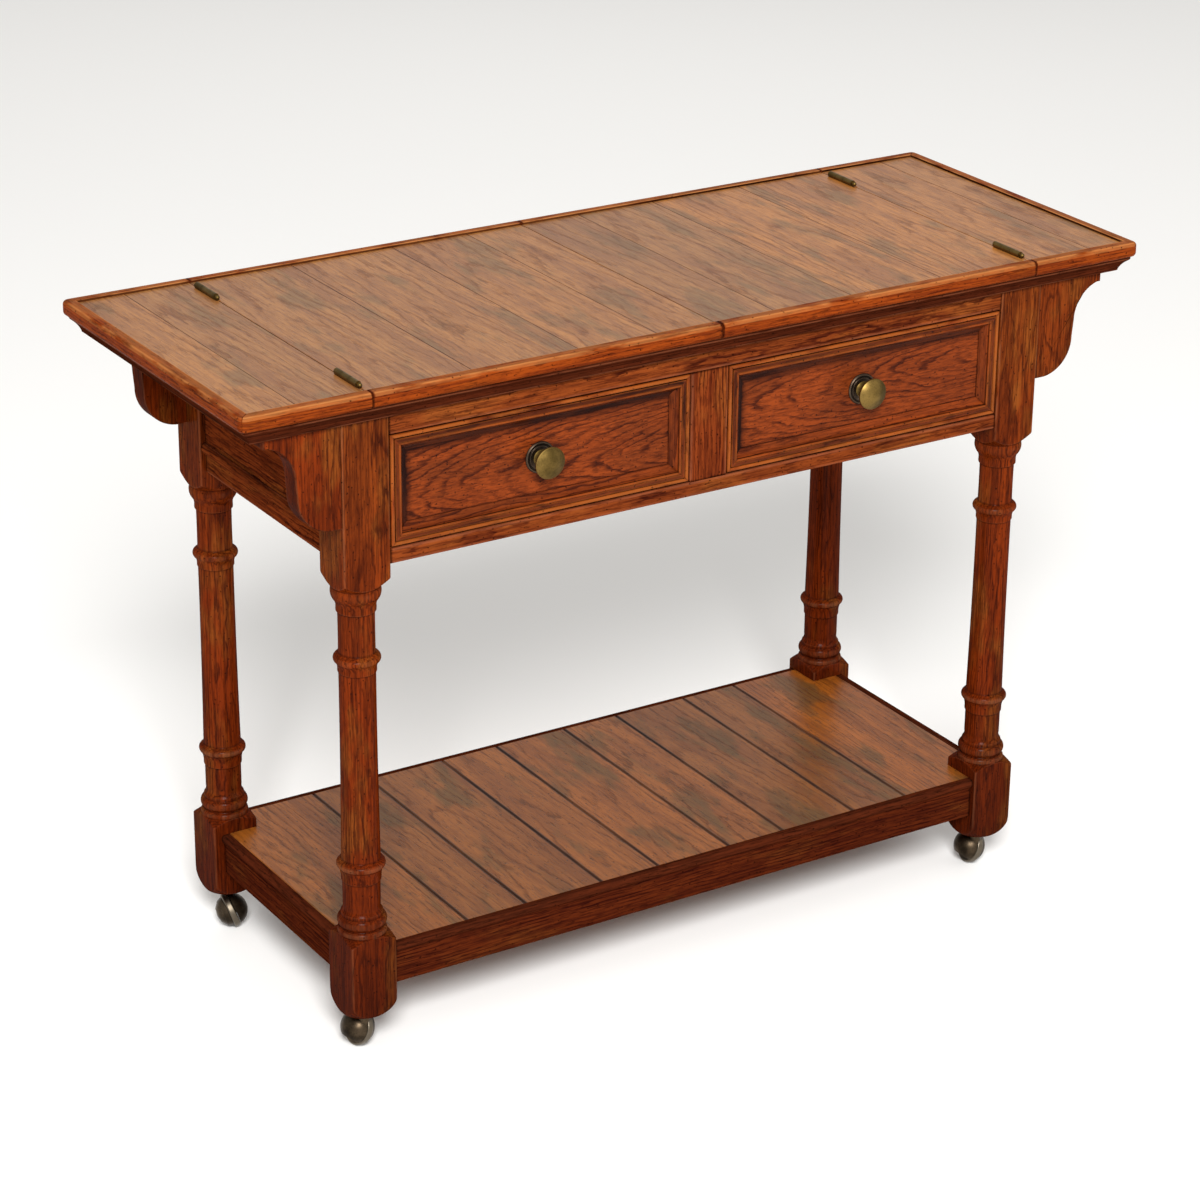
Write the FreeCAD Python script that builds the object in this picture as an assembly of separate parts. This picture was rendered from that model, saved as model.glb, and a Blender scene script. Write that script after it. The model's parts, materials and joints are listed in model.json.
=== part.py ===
"""Flip-top serving trolley in distressed oak, on four hooded ball casters.

The frame: X runs left to right, Y from the front (negative) to the back, Z up from the
floor. The origin is on the floor under the middle of the trolley. Lengths are millimetres.

Two hinged leaves close over a fixed serving deck. Each one flips outwards through half a
turn and lies upside down on its fixed end panel, which a pair of corbels carries past the
legs. Two drawers hang below the deck, and a planked shelf ties the turned legs together.
"""
import FreeCAD, Part
import math
import os

V = FreeCAD.Vector
os.makedirs("parts", exist_ok=True)

# Overall size
TOP_LENGTH = 1120.0
TOP_DEPTH = 424.0
TOP_HEIGHT = 764.0

# The flip top: end panels, leaves and their raised rim
TOP_THICKNESS = 17.0
LIP_RISE = 2.5
RIM_WIDTH = 13.0
RIM_TOP_ROUND = 4.5
RIM_BOTTOM_ROUND = 5.0
RIM_INNER_ROUND = 1.0
CORNER_ROUND = 8.0
END_PANEL_LENGTH = 145.0
JOINT_GAP = 0.8
LEAF_LIFT = 0.3
SEAM_CHAMFER = 0.5
LEFT_END_SEAM_SHARES = (0.582,)
RIGHT_END_SEAM_SHARES = (0.650,)
LEFT_LEAF_SEAM_SHARES = (0.294, 0.598, 0.829)
RIGHT_LEAF_SEAM_SHARES = (0.287, 0.576, 0.819)

# The serving deck, and the moulding under the top as shares of its reach and drop
DECK_THICKNESS = 18.0
DECK_SETBACK = 20.5
MOULDING_REACH = 14.3
MOULDING_OUTLINE_SHARES = (
    ((1.0, 0.0),),
    ((1.0, 0.19),),
    ((0.92, 0.26),),
    ((0.55, 0.555), (0.34, 0.88)),
    ((0.34, 0.92),),
    ((0.29, 0.975), (0.17, 1.0)),
    ((0.0, 1.0),),
)

# Legs, square at the top and at the foot. The turned outline runs upwards, as shares of
# half the leg's square and of the height between the two square blocks.
LEG_SQUARE = 54.0
LEG_ARRIS = 2.0
LEG_END_SETBACK = 120.0
LEG_SIDE_SETBACK = 21.0
LEG_BLOCK_HEIGHT = 176.0
FOOT_BLOCK_HEIGHT = 92.0
FOOT_POMMEL_HEIGHT = 21.0
FOOT_POMMEL_RADIUS = 17.0
FOOT_POMMEL_SHARES = (0.72, 0.40)
LEG_OUTLINE_SHARES = (
    ((0.830, 0.0250),),
    ((0.860, 0.0262),),
    ((0.975, 0.0470), (0.900, 0.0680)),
    ((0.855, 0.0700),),
    ((0.775, 0.0800), (0.750, 0.1020)),
    ((0.750, 0.1580),),
    ((0.775, 0.1680), (0.855, 0.1770)),
    ((0.968, 0.1980), (0.868, 0.2190)),
    ((0.790, 0.2260),),
    ((0.730, 0.5200), (0.724, 0.7420)),
    ((0.750, 0.7560), (0.825, 0.7640)),
    ((0.922, 0.7790), (0.840, 0.7930)),
    ((0.723, 0.8040),),
    ((0.716, 0.8500), (0.722, 0.9010)),
    ((0.745, 0.9170), (0.800, 0.9300)),
    ((0.828, 0.9310),),
    ((0.978, 0.9560), (0.935, 0.9755)),
)

# Corbels under the overhanging ends, outlined as shares of their reach and height
CORBEL_SETBACK = 13.8
CORBEL_HEIGHT = 112.0
CORBEL_THICKNESS = 25.0
CORBEL_RECESS = 1.0
CORBEL_ARRIS = 1.0
CORBEL_OUTLINE_SHARES = (
    ((1.0, 0.0),),
    ((1.0, 0.100),),
    ((0.945, 0.100),),
    ((0.700, 0.225), (0.597, 0.455)),
    ((0.578, 0.620),),
    ((0.440, 0.895), (0.150, 1.0)),
    ((0.0, 1.0),),
)

# Aprons, rails and the stile between the drawers
APRON_HEIGHT = 161.0
APRON_THICKNESS = 18.0
APRON_RECESS = 7.0
BEAD_HEIGHT = 13.0
BEAD_REACH = 5.5
BEAD_DROP = 127.0
BEAD_OUTLINE_SHARES = (
    ((0.35, 0.0),),
    ((1.0, 0.40), (0.55, 0.85)),
    ((0.25, 1.0),),
    ((0.0, 1.0),),
)
RAIL_RECESS = 1.0
RAIL_THICKNESS = 20.0
RAIL_ARRIS = 1.0
TOP_RAIL_HEIGHT = 21.0
BOTTOM_RAIL_HEIGHT = 16.0
STILE_WIDTH = 46.0

# Drawers, and the moulding round their fronts as shares of its width and rise
DRAWER_GAP = 2.0
DRAWER_PANEL_THICKNESS = 16.0
DRAWER_SIDE_THICKNESS = 12.0
DRAWER_BACK_THICKNESS = 12.0
DRAWER_BACK_GAP = 0.5
DRAWER_BACK_DROP = 10.0
DRAWER_SIDE_GAP = 1.5
DRAWER_RUN_GAP = 0.3
DRAWER_TOP_GAP = 3.0
DRAWER_BOTTOM_THICKNESS = 6.0
DRAWER_BOTTOM_LIFT = 9.0
DRAWER_GROOVE = 5.0
FRONT_MOULDING_WIDTH = 21.0
FRONT_MOULDING_RISE = 9.0
FRONT_MOULDING_PROUD = 0.5
FRONT_MOULDING_SHARES = (
    ((0.0, 0.70),),
    ((0.095, 1.0), (0.190, 0.72)),
    ((0.235, 0.72),),
    ((0.235, 0.93),),
    ((0.450, 0.93),),
    ((0.450, 0.80),),
    ((0.515, 0.95), (0.580, 0.76)),
    ((0.730, 0.30), (1.0, 0.10)),
    ((1.0, 0.0),),
)

# Runners that carry the drawers, and kickers that keep them level
RUNNER_LEDGE = 15.0
RUNNER_HEIGHT = 12.0
GUIDE_HEIGHT = 36.0

# Knobs and their backplates, outlined as shares of their radius and height. A round cap
# begins at the height of a knob's rim.
KNOB_RADIUS = 17.5
KNOB_RIM_HEIGHT = 19.0
KNOB_CAP_HEIGHT = 6.5
KNOB_OUTLINE_SHARES = (
    ((0.52, 0.0),),
    ((0.36, 0.34), (0.60, 0.76)),
    ((1.0, 0.90),),
    ((1.0, 1.0),),
)
PLATE_RADIUS = 17.5
PLATE_THICKNESS = 2.5
PLATE_OUTLINE_SHARES = (
    ((1.0, 0.0),),
    ((1.0, 0.45),),
    ((0.94, 1.0),),
    ((0.88, 1.0),),
    ((0.81, 0.60), (0.74, 1.0)),
)
KNOB_SCREW_RADIUS = 2.0
KNOB_SCREW_HEAD_RADIUS = 4.5
KNOB_SCREW_HEAD_HEIGHT = 2.5
KNOB_SCREW_BITE = 11.0

# Shelf
SHELF_DROP = 10.0
SHELF_END_INSET = 9.0
SHELF_FRONT_INSET = 3.5
SHELF_THICKNESS = 10.0
SHELF_GROOVE = 1.6
SHELF_SEAM_SHARES = (0.152, 0.240, 0.356, 0.444, 0.556, 0.644, 0.760, 0.848)
NOSING_WIDTH = 10.0
NOSING_ROUND = 4.2
SHELF_RAIL_HEIGHT = 38.0
SHELF_RAIL_THICKNESS = 18.0
SHELF_RAIL_SETBACK = 4.0

# Butt hinges between the end panels and the leaves
HINGE_LENGTH = 45.0
HINGE_INSET = 53.5
HINGE_AXIS_LIFT = 0.25
HINGE_BARREL_RADIUS = 3.5
HINGE_BARREL_POCKET = 0.5
HINGE_PIN_RADIUS = 1.5
HINGE_BORE_CLEARANCE = 0.05
HINGE_KNUCKLES = 3
HINGE_KNUCKLE_GAP = 0.3
HINGE_PLATE_HEIGHT = 14.0
HINGE_PLATE_THICKNESS = 1.4
FINIAL_RADIUS = 2.6
FINIAL_NECK = 1.4
HINGE_SCREW_RADIUS = 1.4
HINGE_SCREW_HEAD_RADIUS = 2.5
HINGE_SCREW_HEAD_HEIGHT = 0.8
HINGE_SCREW_LENGTH = 13.0
HINGE_SCREW_SHARES = (-0.34, 0.0, 0.34)

# Casters: a tilted wheel with a domed side, and a hood over its other side
WHEEL_RADIUS = 20.5
WHEEL_TREAD = 7.4
WHEEL_TREAD_ROUND = 1.8
WHEEL_DOME_RADIUS = 18.2
WHEEL_DOME_RING = 0.8
WHEEL_RING_DEGREES = (36.0, 62.0)
WHEEL_HUB_RADIUS = 6.0
WHEEL_HUB_LENGTH = 5.0
WHEEL_TILT_DEGREES = 20.0
HOOD_RADIUS = 19.8
HOOD_WALL = 2.2
HOOD_GAP = 0.5
HOOD_CUT_DISTANCE = 14.3
HOOD_CUT_DEGREES = 33.0
AXLE_RADIUS = 3.0
AXLE_CLEARANCE = 0.05
AXLE_REACH = 9.0
SWIVEL_TRAIL = 10.0
SWIVEL_NECK_RADIUS = 7.0
SWIVEL_NECK_HEIGHT = 23.0
SWIVEL_GAP = 0.5
STEM_RADIUS = 4.0
STEM_CLEARANCE = 0.05
STEM_LENGTH = 30.0
SOCKET_RADIUS = 6.0
SOCKET_DEPTH = 33.0
SOCKET_FLANGE_RADIUS = 10.0
SOCKET_FLANGE_THICKNESS = 1.4
CASTER_TURN_DEGREES = {
    "front_left": 10.0,
    "front_right": -5.0,
    "rear_left": 168.5,
    "rear_right": -30.0,
}

# Every cut runs past the face that it opens by the overrun, and two measures closer than
# the match are the same plane
OVERRUN = 2.0
MATCH = 0.02
FULL_TURN = 360

# Levels and planes that several pieces share
HALF_LENGTH = TOP_LENGTH / 2
HALF_DEPTH = TOP_DEPTH / 2
BOARD_TOP = TOP_HEIGHT - LIP_RISE
DECK_TOP = TOP_HEIGHT - TOP_THICKNESS
DECK_BOTTOM = DECK_TOP - DECK_THICKNESS
DECK_END = HALF_LENGTH - DECK_SETBACK
DECK_SIDE = HALF_DEPTH - DECK_SETBACK
HINGE_LINE = HALF_LENGTH - END_PANEL_LENGTH
HALF_GAP = JOINT_GAP / 2
HALF_LEG = LEG_SQUARE / 2
LEG_OUTER_X = HALF_LENGTH - LEG_END_SETBACK
LEG_INNER_X = LEG_OUTER_X - LEG_SQUARE
LEG_CENTRE_X = LEG_OUTER_X - HALF_LEG
LEG_OUTER_Y = HALF_DEPTH - LEG_SIDE_SETBACK
LEG_INNER_Y = LEG_OUTER_Y - LEG_SQUARE
LEG_CENTRE_Y = LEG_OUTER_Y - HALF_LEG
APRON_BOTTOM = DECK_BOTTOM - APRON_HEIGHT
APRON_OUTER_X = LEG_OUTER_X - APRON_RECESS
APRON_INNER_X = APRON_OUTER_X - APRON_THICKNESS
BACK_APRON_BACK = LEG_OUTER_Y - APRON_RECESS
BACK_APRON_FRONT = BACK_APRON_BACK - APRON_THICKNESS
RAIL_FRONT = -LEG_OUTER_Y + RAIL_RECESS
RAIL_BACK = RAIL_FRONT + RAIL_THICKNESS
OPENING_BOTTOM = APRON_BOTTOM + BOTTOM_RAIL_HEIGHT
OPENING_TOP = DECK_BOTTOM - TOP_RAIL_HEIGHT
HALF_STILE = STILE_WIDTH / 2
PANEL_FRONT = RAIL_FRONT - FRONT_MOULDING_PROUD + FRONT_MOULDING_RISE
PANEL_BACK = PANEL_FRONT + DRAWER_PANEL_THICKNESS
FRONT_LOW = OPENING_BOTTOM + DRAWER_GAP
FRONT_HIGH = OPENING_TOP - DRAWER_GAP
KNOB_X = (HALF_STILE + LEG_INNER_X) / 2
KNOB_Z = (FRONT_LOW + FRONT_HIGH) / 2
BOX_NEAR_X = HALF_STILE + DRAWER_SIDE_GAP
BOX_FAR_X = LEG_INNER_X - DRAWER_SIDE_GAP
BOX_BACK = BACK_APRON_FRONT - DRAWER_BACK_GAP
BOX_LOW = OPENING_BOTTOM + DRAWER_RUN_GAP
BOX_HIGH = OPENING_TOP - DRAWER_TOP_GAP
BOTTOM_LOW = BOX_LOW + DRAWER_BOTTOM_LIFT
BOTTOM_HIGH = BOTTOM_LOW + DRAWER_BOTTOM_THICKNESS
HINGE_AXIS_Z = TOP_HEIGHT + HINGE_AXIS_LIFT
HINGE_CENTRES_Y = (HINGE_INSET - HALF_DEPTH, HALF_DEPTH - HINGE_INSET)
WHEEL_TILT = math.radians(WHEEL_TILT_DEGREES)
HALF_TREAD = WHEEL_TREAD / 2
WHEEL_CENTRE_Z = (
    WHEEL_TREAD_ROUND
    + (WHEEL_RADIUS - WHEEL_TREAD_ROUND) * math.cos(WHEEL_TILT)
    + (HALF_TREAD - WHEEL_TREAD_ROUND) * math.sin(WHEEL_TILT)
)
SWIVEL_NECK_TOP = WHEEL_CENTRE_Z + SWIVEL_NECK_HEIGHT
SOCKET_BOTTOM = SWIVEL_NECK_TOP + SWIVEL_GAP
LEG_BOTTOM = SOCKET_BOTTOM + SOCKET_FLANGE_THICKNESS
FOOT_SHOULDER = LEG_BOTTOM + FOOT_BLOCK_HEIGHT
BLOCK_SHOULDER = DECK_BOTTOM - LEG_BLOCK_HEIGHT
SHELF_TOP = FOOT_SHOULDER - SHELF_DROP
SHELF_BOTTOM = SHELF_TOP - SHELF_THICKNESS
SHELF_END = LEG_OUTER_X - SHELF_END_INSET
SHELF_SIDE = LEG_OUTER_Y - SHELF_FRONT_INSET
CORNERS = {
    "front_left": (-1, -1),
    "front_right": (1, -1),
    "rear_left": (-1, 1),
    "rear_right": (1, 1),
}


# Small shape helpers
def save(name, solids):
    """Write one sub-part, as one solid or as a group of separate solids."""
    shape = solids[0] if len(solids) == 1 else Part.Compound(solids)
    shape.exportStep("parts/" + name + ".step")


def box(x0, x1, y0, y1, z0, z1):
    """A box between two corners, given in either order."""
    low = V(min(x0, x1), min(y0, y1), min(z0, z1))
    return Part.makeBox(abs(x1 - x0), abs(y1 - y0), abs(z1 - z0), low)


def rod(radius, length, start, direction):
    """A round bar from a start point along a direction."""
    return Part.makeCylinder(radius, length, start, direction)


def outline_face(start, steps, to_space):
    """A closed flat face. A step of one point is a line, and a step of two is an arc."""
    edges = []
    here = start
    for step in list(steps) + [(start,)]:
        points = [to_space(*point) for point in (here,) + tuple(step)]
        if len(points) == 2:
            edges.append(Part.LineSegment(*points).toShape())
        else:
            edges.append(Part.Arc(*points).toShape())
        here = step[-1]
    return Part.Face(Part.Wire(edges))


def plan_face(corners):
    """A flat face at floor level, between corners in plan."""
    return outline_face(corners[0], [(corner,) for corner in corners[1:]], lambda x, y: V(x, y, 0))


def sized(shares, width, height):
    """The steps of an outline whose points are shares of a width and a height."""
    return [tuple((u * width, v * height) for u, v in step) for step in shares]


def near(a, b):
    """True when two measures are the same plane."""
    return abs(a - b) < MATCH


def ends(edge):
    """The end points of an edge."""
    return [vertex.Point for vertex in edge.Vertexes]


def middle(edge):
    """The point half way along an edge."""
    return edge.valueAt((edge.FirstParameter + edge.LastParameter) / 2)


def upright_edges(shape):
    """The edges that stand straight up."""
    upright = []
    for edge in shape.Edges:
        low, high = ends(edge)
        if near(low.x, high.x) and near(low.y, high.y):
            upright.append(edge)
    return upright


def rounded(shape, radius, wanted):
    """Round the edges whose end points all pass the test."""
    return shape.makeFillet(radius, [e for e in shape.Edges if all(wanted(p) for p in ends(e))])


def mirrored(shape):
    """The same piece on the other side of the trolley's middle plane."""
    return shape.mirror(V(0, 0, 0), V(1, 0, 0))


def only_solid(shape):
    """The single solid that a cut or a join leaves."""
    return shape.removeSplitter().Solids[0]


# Hinges. Side is -1 for the left hinge line and 1 for the right one. Outward is 1 for the
# half on the end panel and -1 for the half on the leaf.
def joint_face(side, outward):
    """The X of the joint face that a hinge half is let into."""
    return side * (HINGE_LINE + outward * HALF_GAP)


def along_barrel(radius, side, y0, y1):
    """A round bar on a hinge line's axis."""
    return rod(radius, y1 - y0, V(side * HINGE_LINE, y0, HINGE_AXIS_Z), V(0, 1, 0))


def finial_front(centre_y):
    """The Y where a hinge pin's finial ends."""
    return centre_y - HINGE_LENGTH / 2 - FINIAL_NECK - 2 * FINIAL_RADIUS


def hinge_pocket(side, centre_y):
    """The round trough that clears a barrel and its finial."""
    front = finial_front(centre_y) - HINGE_BARREL_POCKET
    back = centre_y + HINGE_LENGTH / 2 + HINGE_BARREL_POCKET
    return along_barrel(HINGE_BARREL_RADIUS + HINGE_BARREL_POCKET, side, front, back)


def plate_blank(side, centre_y, outward):
    """A hinge plate before its knuckles and screw holes, flush with the joint face."""
    face = joint_face(side, outward)
    buried = face + side * outward * HINGE_PLATE_THICKNESS
    front = centre_y - HINGE_LENGTH / 2
    back = centre_y + HINGE_LENGTH / 2
    return box(face, buried, front, back, HINGE_AXIS_Z - HINGE_PLATE_HEIGHT, HINGE_AXIS_Z)


def hinge_screws(side, centre_y, outward):
    """The countersunk screws of one plate, flush with the joint face."""
    into = V(side * outward, 0, 0)
    height = HINGE_AXIS_Z - (HINGE_PLATE_HEIGHT + HINGE_BARREL_RADIUS) / 2
    screws = []
    for share in HINGE_SCREW_SHARES:
        place = V(joint_face(side, outward), centre_y + share * HINGE_LENGTH, height)
        wide, narrow = HINGE_SCREW_HEAD_RADIUS, HINGE_SCREW_RADIUS
        head = Part.makeCone(wide, narrow, HINGE_SCREW_HEAD_HEIGHT, place, into)
        shank = rod(narrow, HINGE_SCREW_LENGTH, place, into)
        screws.append(only_solid(head.fuse(shank)))
    return screws


def knuckle_spans(centre_y, outward):
    """The stretches of barrel on one hinge half: two on the fixed half, one on the leaf."""
    front = centre_y - HINGE_LENGTH / 2
    back = centre_y + HINGE_LENGTH / 2
    third = HINGE_LENGTH / HINGE_KNUCKLES
    spare = HINGE_KNUCKLE_GAP / 2
    if outward > 0:
        return [(front, front + third - spare), (back - third + spare, back)]
    return [(front + third + spare, back - third - spare)]


def hinge_half(side, centre_y, outward):
    """A plate with its knuckles and screw holes. The leaf's knuckle turns on the pin."""
    bore = HINGE_PIN_RADIUS if outward > 0 else HINGE_PIN_RADIUS + HINGE_BORE_CLEARANCE
    front = centre_y - HINGE_LENGTH / 2
    back = centre_y + HINGE_LENGTH / 2
    plate = plate_blank(side, centre_y, outward)
    half = plate.cut(along_barrel(HINGE_BARREL_RADIUS + HINGE_KNUCKLE_GAP, side, front, back))
    for y0, y1 in knuckle_spans(centre_y, outward):
        web = plate.common(box(-TOP_LENGTH, TOP_LENGTH, y0, y1, 0, HINGE_AXIS_Z))
        barrel = along_barrel(HINGE_BARREL_RADIUS, side, y0, y1)
        half = half.fuse(web).fuse(barrel).cut(along_barrel(bore, side, y0, y1))
    for screw in hinge_screws(side, centre_y, outward):
        half = half.cut(screw)
    return only_solid(half)


def hinge_pin(side, centre_y):
    """The pin through one barrel, with a ball finial at its front end."""
    neck_front = centre_y - HINGE_LENGTH / 2 - FINIAL_NECK
    ball_centre = finial_front(centre_y) + FINIAL_RADIUS
    pin = along_barrel(HINGE_PIN_RADIUS, side, ball_centre, centre_y + HINGE_LENGTH / 2)
    ball = Part.makeSphere(FINIAL_RADIUS, V(side * HINGE_LINE, ball_centre, HINGE_AXIS_Z))
    collar = along_barrel(HINGE_BARREL_RADIUS, side, neck_front + FINIAL_NECK / 2, neck_front + FINIAL_NECK)
    return only_solid(pin.fuse(ball).fuse(collar))


def cut_for_hinges(shape, side, outward):
    """Take the pockets, plates and screw holes of one hinge line out of a piece."""
    for centre_y in HINGE_CENTRES_Y:
        shape = shape.cut(hinge_pocket(side, centre_y))
        shape = shape.cut(plate_blank(side, centre_y, outward))
        for screw in hinge_screws(side, centre_y, outward):
            shape = shape.cut(screw)
    return only_solid(shape)


# The flip top
def rim_ring():
    """The raised rim round the whole top, before the joints part it."""
    slab = box(-HALF_LENGTH, HALF_LENGTH, -HALF_DEPTH, HALF_DEPTH, DECK_TOP, TOP_HEIGHT)
    slab = slab.makeFillet(CORNER_ROUND, upright_edges(slab))
    slab = rounded(slab, RIM_TOP_ROUND, lambda p: near(p.z, TOP_HEIGHT))
    slab = rounded(slab, RIM_BOTTOM_ROUND, lambda p: near(p.z, DECK_TOP))
    inner_x = HALF_LENGTH - RIM_WIDTH
    inner_y = HALF_DEPTH - RIM_WIDTH
    well = box(-inner_x, inner_x, -inner_y, inner_y, DECK_TOP - OVERRUN, TOP_HEIGHT + OVERRUN)

    def on_inner_lip(p):
        return near(p.z, TOP_HEIGHT) and (near(abs(p.x), inner_x) or near(abs(p.y), inner_y))

    return rounded(slab.cut(well), RIM_INNER_ROUND, on_inner_lip)


def end_rim(ring, side):
    """Three mitred strips round one fixed end panel: its end, front and back."""
    joint = side * (HINGE_LINE + HALF_GAP)
    piece = ring.common(box(joint, side * TOP_LENGTH, -TOP_DEPTH, TOP_DEPTH, 0, 2 * TOP_HEIGHT))
    inner_x = side * (HALF_LENGTH - RIM_WIDTH)
    inner_y = HALF_DEPTH - RIM_WIDTH
    outer_x = side * (HALF_LENGTH + RIM_WIDTH)
    outer_y = HALF_DEPTH + RIM_WIDTH
    wedge = plan_face([(inner_x, -inner_y), (outer_x, -outer_y), (outer_x, outer_y), (inner_x, inner_y)])
    wedge = wedge.extrude(V(0, 0, 2 * TOP_HEIGHT))
    return piece.common(wedge).Solids + piece.cut(wedge).Solids


def leaf_rim(ring, side):
    """The front and back strips of one leaf."""
    joint = side * (HINGE_LINE - HALF_GAP)
    bottom = DECK_TOP + LEAF_LIFT
    return ring.common(box(side * HALF_GAP, joint, -TOP_DEPTH, TOP_DEPTH, bottom, 2 * TOP_HEIGHT)).Solids


def row_of_boards(x0, x1, shares, y0, y1, z0, z1, chamfer):
    """Boards side by side from x0 to x1, with chamfered seams at the given shares."""
    places = [x0] + [x0 + share * (x1 - x0) for share in shares] + [x1]
    boards = []
    for left, right in zip(places, places[1:]):
        plank = box(left, right, y0, y1, z0, z1)
        long_arrises = [
            e for e in plank.Edges
            if all(near(p.z, z1) for p in ends(e)) and near(ends(e)[0].x, ends(e)[1].x)
        ]
        boards.append(plank.makeChamfer(chamfer, long_arrises))
    return boards


def end_boards(side, shares):
    """The boards of one fixed end panel, from the hinge line outwards."""
    inner_y = HALF_DEPTH - RIM_WIDTH
    joint = side * (HINGE_LINE + HALF_GAP)
    far = side * (HALF_LENGTH - RIM_WIDTH)
    boards = row_of_boards(joint, far, shares, -inner_y, inner_y, DECK_TOP, BOARD_TOP, SEAM_CHAMFER)
    return [cut_for_hinges(board, side, 1) for board in boards]


def leaf_boards(side, shares):
    """The boards of one leaf, from the hinge line to the joint at the middle."""
    inner_y = HALF_DEPTH - RIM_WIDTH
    joint = side * (HINGE_LINE - HALF_GAP)
    bottom = DECK_TOP + LEAF_LIFT
    middle_x = side * HALF_GAP
    boards = row_of_boards(joint, middle_x, shares, -inner_y, inner_y, bottom, BOARD_TOP, SEAM_CHAMFER)
    return [cut_for_hinges(board, side, -1) for board in boards]


# The deck and the mitred moulding round its edge
def serving_deck():
    return box(-DECK_END, DECK_END, -DECK_SIDE, DECK_SIDE, DECK_BOTTOM, DECK_TOP)


def under_top_moulding():
    """Four mitred lengths of fillet-and-cove moulding, applied to the deck's edges."""
    steps = sized(MOULDING_OUTLINE_SHARES, MOULDING_REACH, -DECK_THICKNESS)
    far_x = DECK_END + MOULDING_REACH
    far_y = DECK_SIDE + MOULDING_REACH
    lengths = []
    for side in (-1, 1):
        long_face = outline_face((0, 0), steps, lambda u, v: V(-far_x, side * (DECK_SIDE + u), DECK_TOP + v))
        long_room = plan_face([
            (-DECK_END, side * DECK_SIDE), (DECK_END, side * DECK_SIDE),
            (far_x, side * far_y), (-far_x, side * far_y),
        ])
        end_face = outline_face((0, 0), steps, lambda u, v: V(side * (DECK_END + u), -far_y, DECK_TOP + v))
        end_room = plan_face([
            (side * DECK_END, -DECK_SIDE), (side * DECK_END, DECK_SIDE),
            (side * far_x, far_y), (side * far_x, -far_y),
        ])
        for face, along, room in (
            (long_face, V(2 * far_x, 0, 0), long_room),
            (end_face, V(0, 2 * far_y, 0), end_room),
        ):
            lengths.append(only_solid(face.extrude(along).common(room.extrude(V(0, 0, TOP_HEIGHT)))))
    return lengths


# Legs
def leg(corner_x, corner_y):
    """One leg: a turned outline cut to a square post, bored for the caster's socket."""
    corner = HALF_LEG * math.sqrt(2)
    turned = BLOCK_SHOULDER - FOOT_SHOULDER
    pommel_radius_share, pommel_height_share = FOOT_POMMEL_SHARES
    pommel_middle = (
        FOOT_POMMEL_RADIUS + pommel_radius_share * (corner - FOOT_POMMEL_RADIUS),
        LEG_BOTTOM + pommel_height_share * FOOT_POMMEL_HEIGHT,
    )
    steps = [
        ((FOOT_POMMEL_RADIUS, LEG_BOTTOM),),
        (pommel_middle, (corner, LEG_BOTTOM + FOOT_POMMEL_HEIGHT)),
        ((corner, FOOT_SHOULDER),),
    ]
    for step in sized(LEG_OUTLINE_SHARES, HALF_LEG, turned):
        steps.append(tuple((r, FOOT_SHOULDER + height) for r, height in step))
    steps += [
        ((corner, BLOCK_SHOULDER),),
        ((corner, DECK_BOTTOM),),
        ((0, DECK_BOTTOM),),
    ]
    face = outline_face((0, LEG_BOTTOM), steps, lambda r, z: V(r, 0, z))
    spindle = face.revolve(V(0, 0, 0), V(0, 0, 1), FULL_TURN)
    square = box(-HALF_LEG, HALF_LEG, -HALF_LEG, HALF_LEG, 0, DECK_BOTTOM)
    post = spindle.common(square.makeFillet(LEG_ARRIS, upright_edges(square)))
    post = post.cut(rod(SOCKET_RADIUS, SOCKET_DEPTH + OVERRUN, V(0, 0, LEG_BOTTOM - OVERRUN), V(0, 0, 1)))
    post.translate(V(corner_x * LEG_CENTRE_X, corner_y * LEG_CENTRE_Y, 0))
    return only_solid(post)


# Corbels
def corbel(corner_x, corner_y):
    """One scrolled bracket, from a leg's outer face out under the deck's end."""
    reach = DECK_END - CORBEL_SETBACK - LEG_OUTER_X
    steps = sized(CORBEL_OUTLINE_SHARES, reach, -CORBEL_HEIGHT)
    back = LEG_OUTER_Y - CORBEL_RECESS
    face = outline_face((0, 0), steps, lambda u, v: V(LEG_OUTER_X + u, back, DECK_BOTTOM + v))
    bracket = face.extrude(V(0, -CORBEL_THICKNESS, 0))

    def shows(e):
        return middle(e).x > LEG_OUTER_X + OVERRUN and middle(e).z < DECK_BOTTOM - OVERRUN

    arrises = [e for e in bracket.Edges if shows(e) and near(ends(e)[0].y, ends(e)[1].y)]
    bracket = bracket.makeFillet(CORBEL_ARRIS, arrises)
    if corner_y < 0:
        bracket = bracket.mirror(V(0, 0, 0), V(0, 1, 0))
    return bracket if corner_x > 0 else mirrored(bracket)


# Aprons, rails and stile
def side_apron(side):
    outer = side * APRON_OUTER_X
    return box(side * APRON_INNER_X, outer, -LEG_INNER_Y, LEG_INNER_Y, APRON_BOTTOM, DECK_BOTTOM)


def back_apron():
    return box(-LEG_INNER_X, LEG_INNER_X, BACK_APRON_FRONT, BACK_APRON_BACK, APRON_BOTTOM, DECK_BOTTOM)


def apron_bead(side):
    """The rounded strip applied along a side apron, from leg to leg."""
    top = DECK_BOTTOM - BEAD_DROP
    steps = sized(BEAD_OUTLINE_SHARES, BEAD_REACH, -BEAD_HEIGHT)
    face = outline_face((0, 0), steps, lambda u, v: V(side * (APRON_OUTER_X + u), -LEG_INNER_Y, top + v))
    return face.extrude(V(0, 2 * LEG_INNER_Y, 0))


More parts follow.
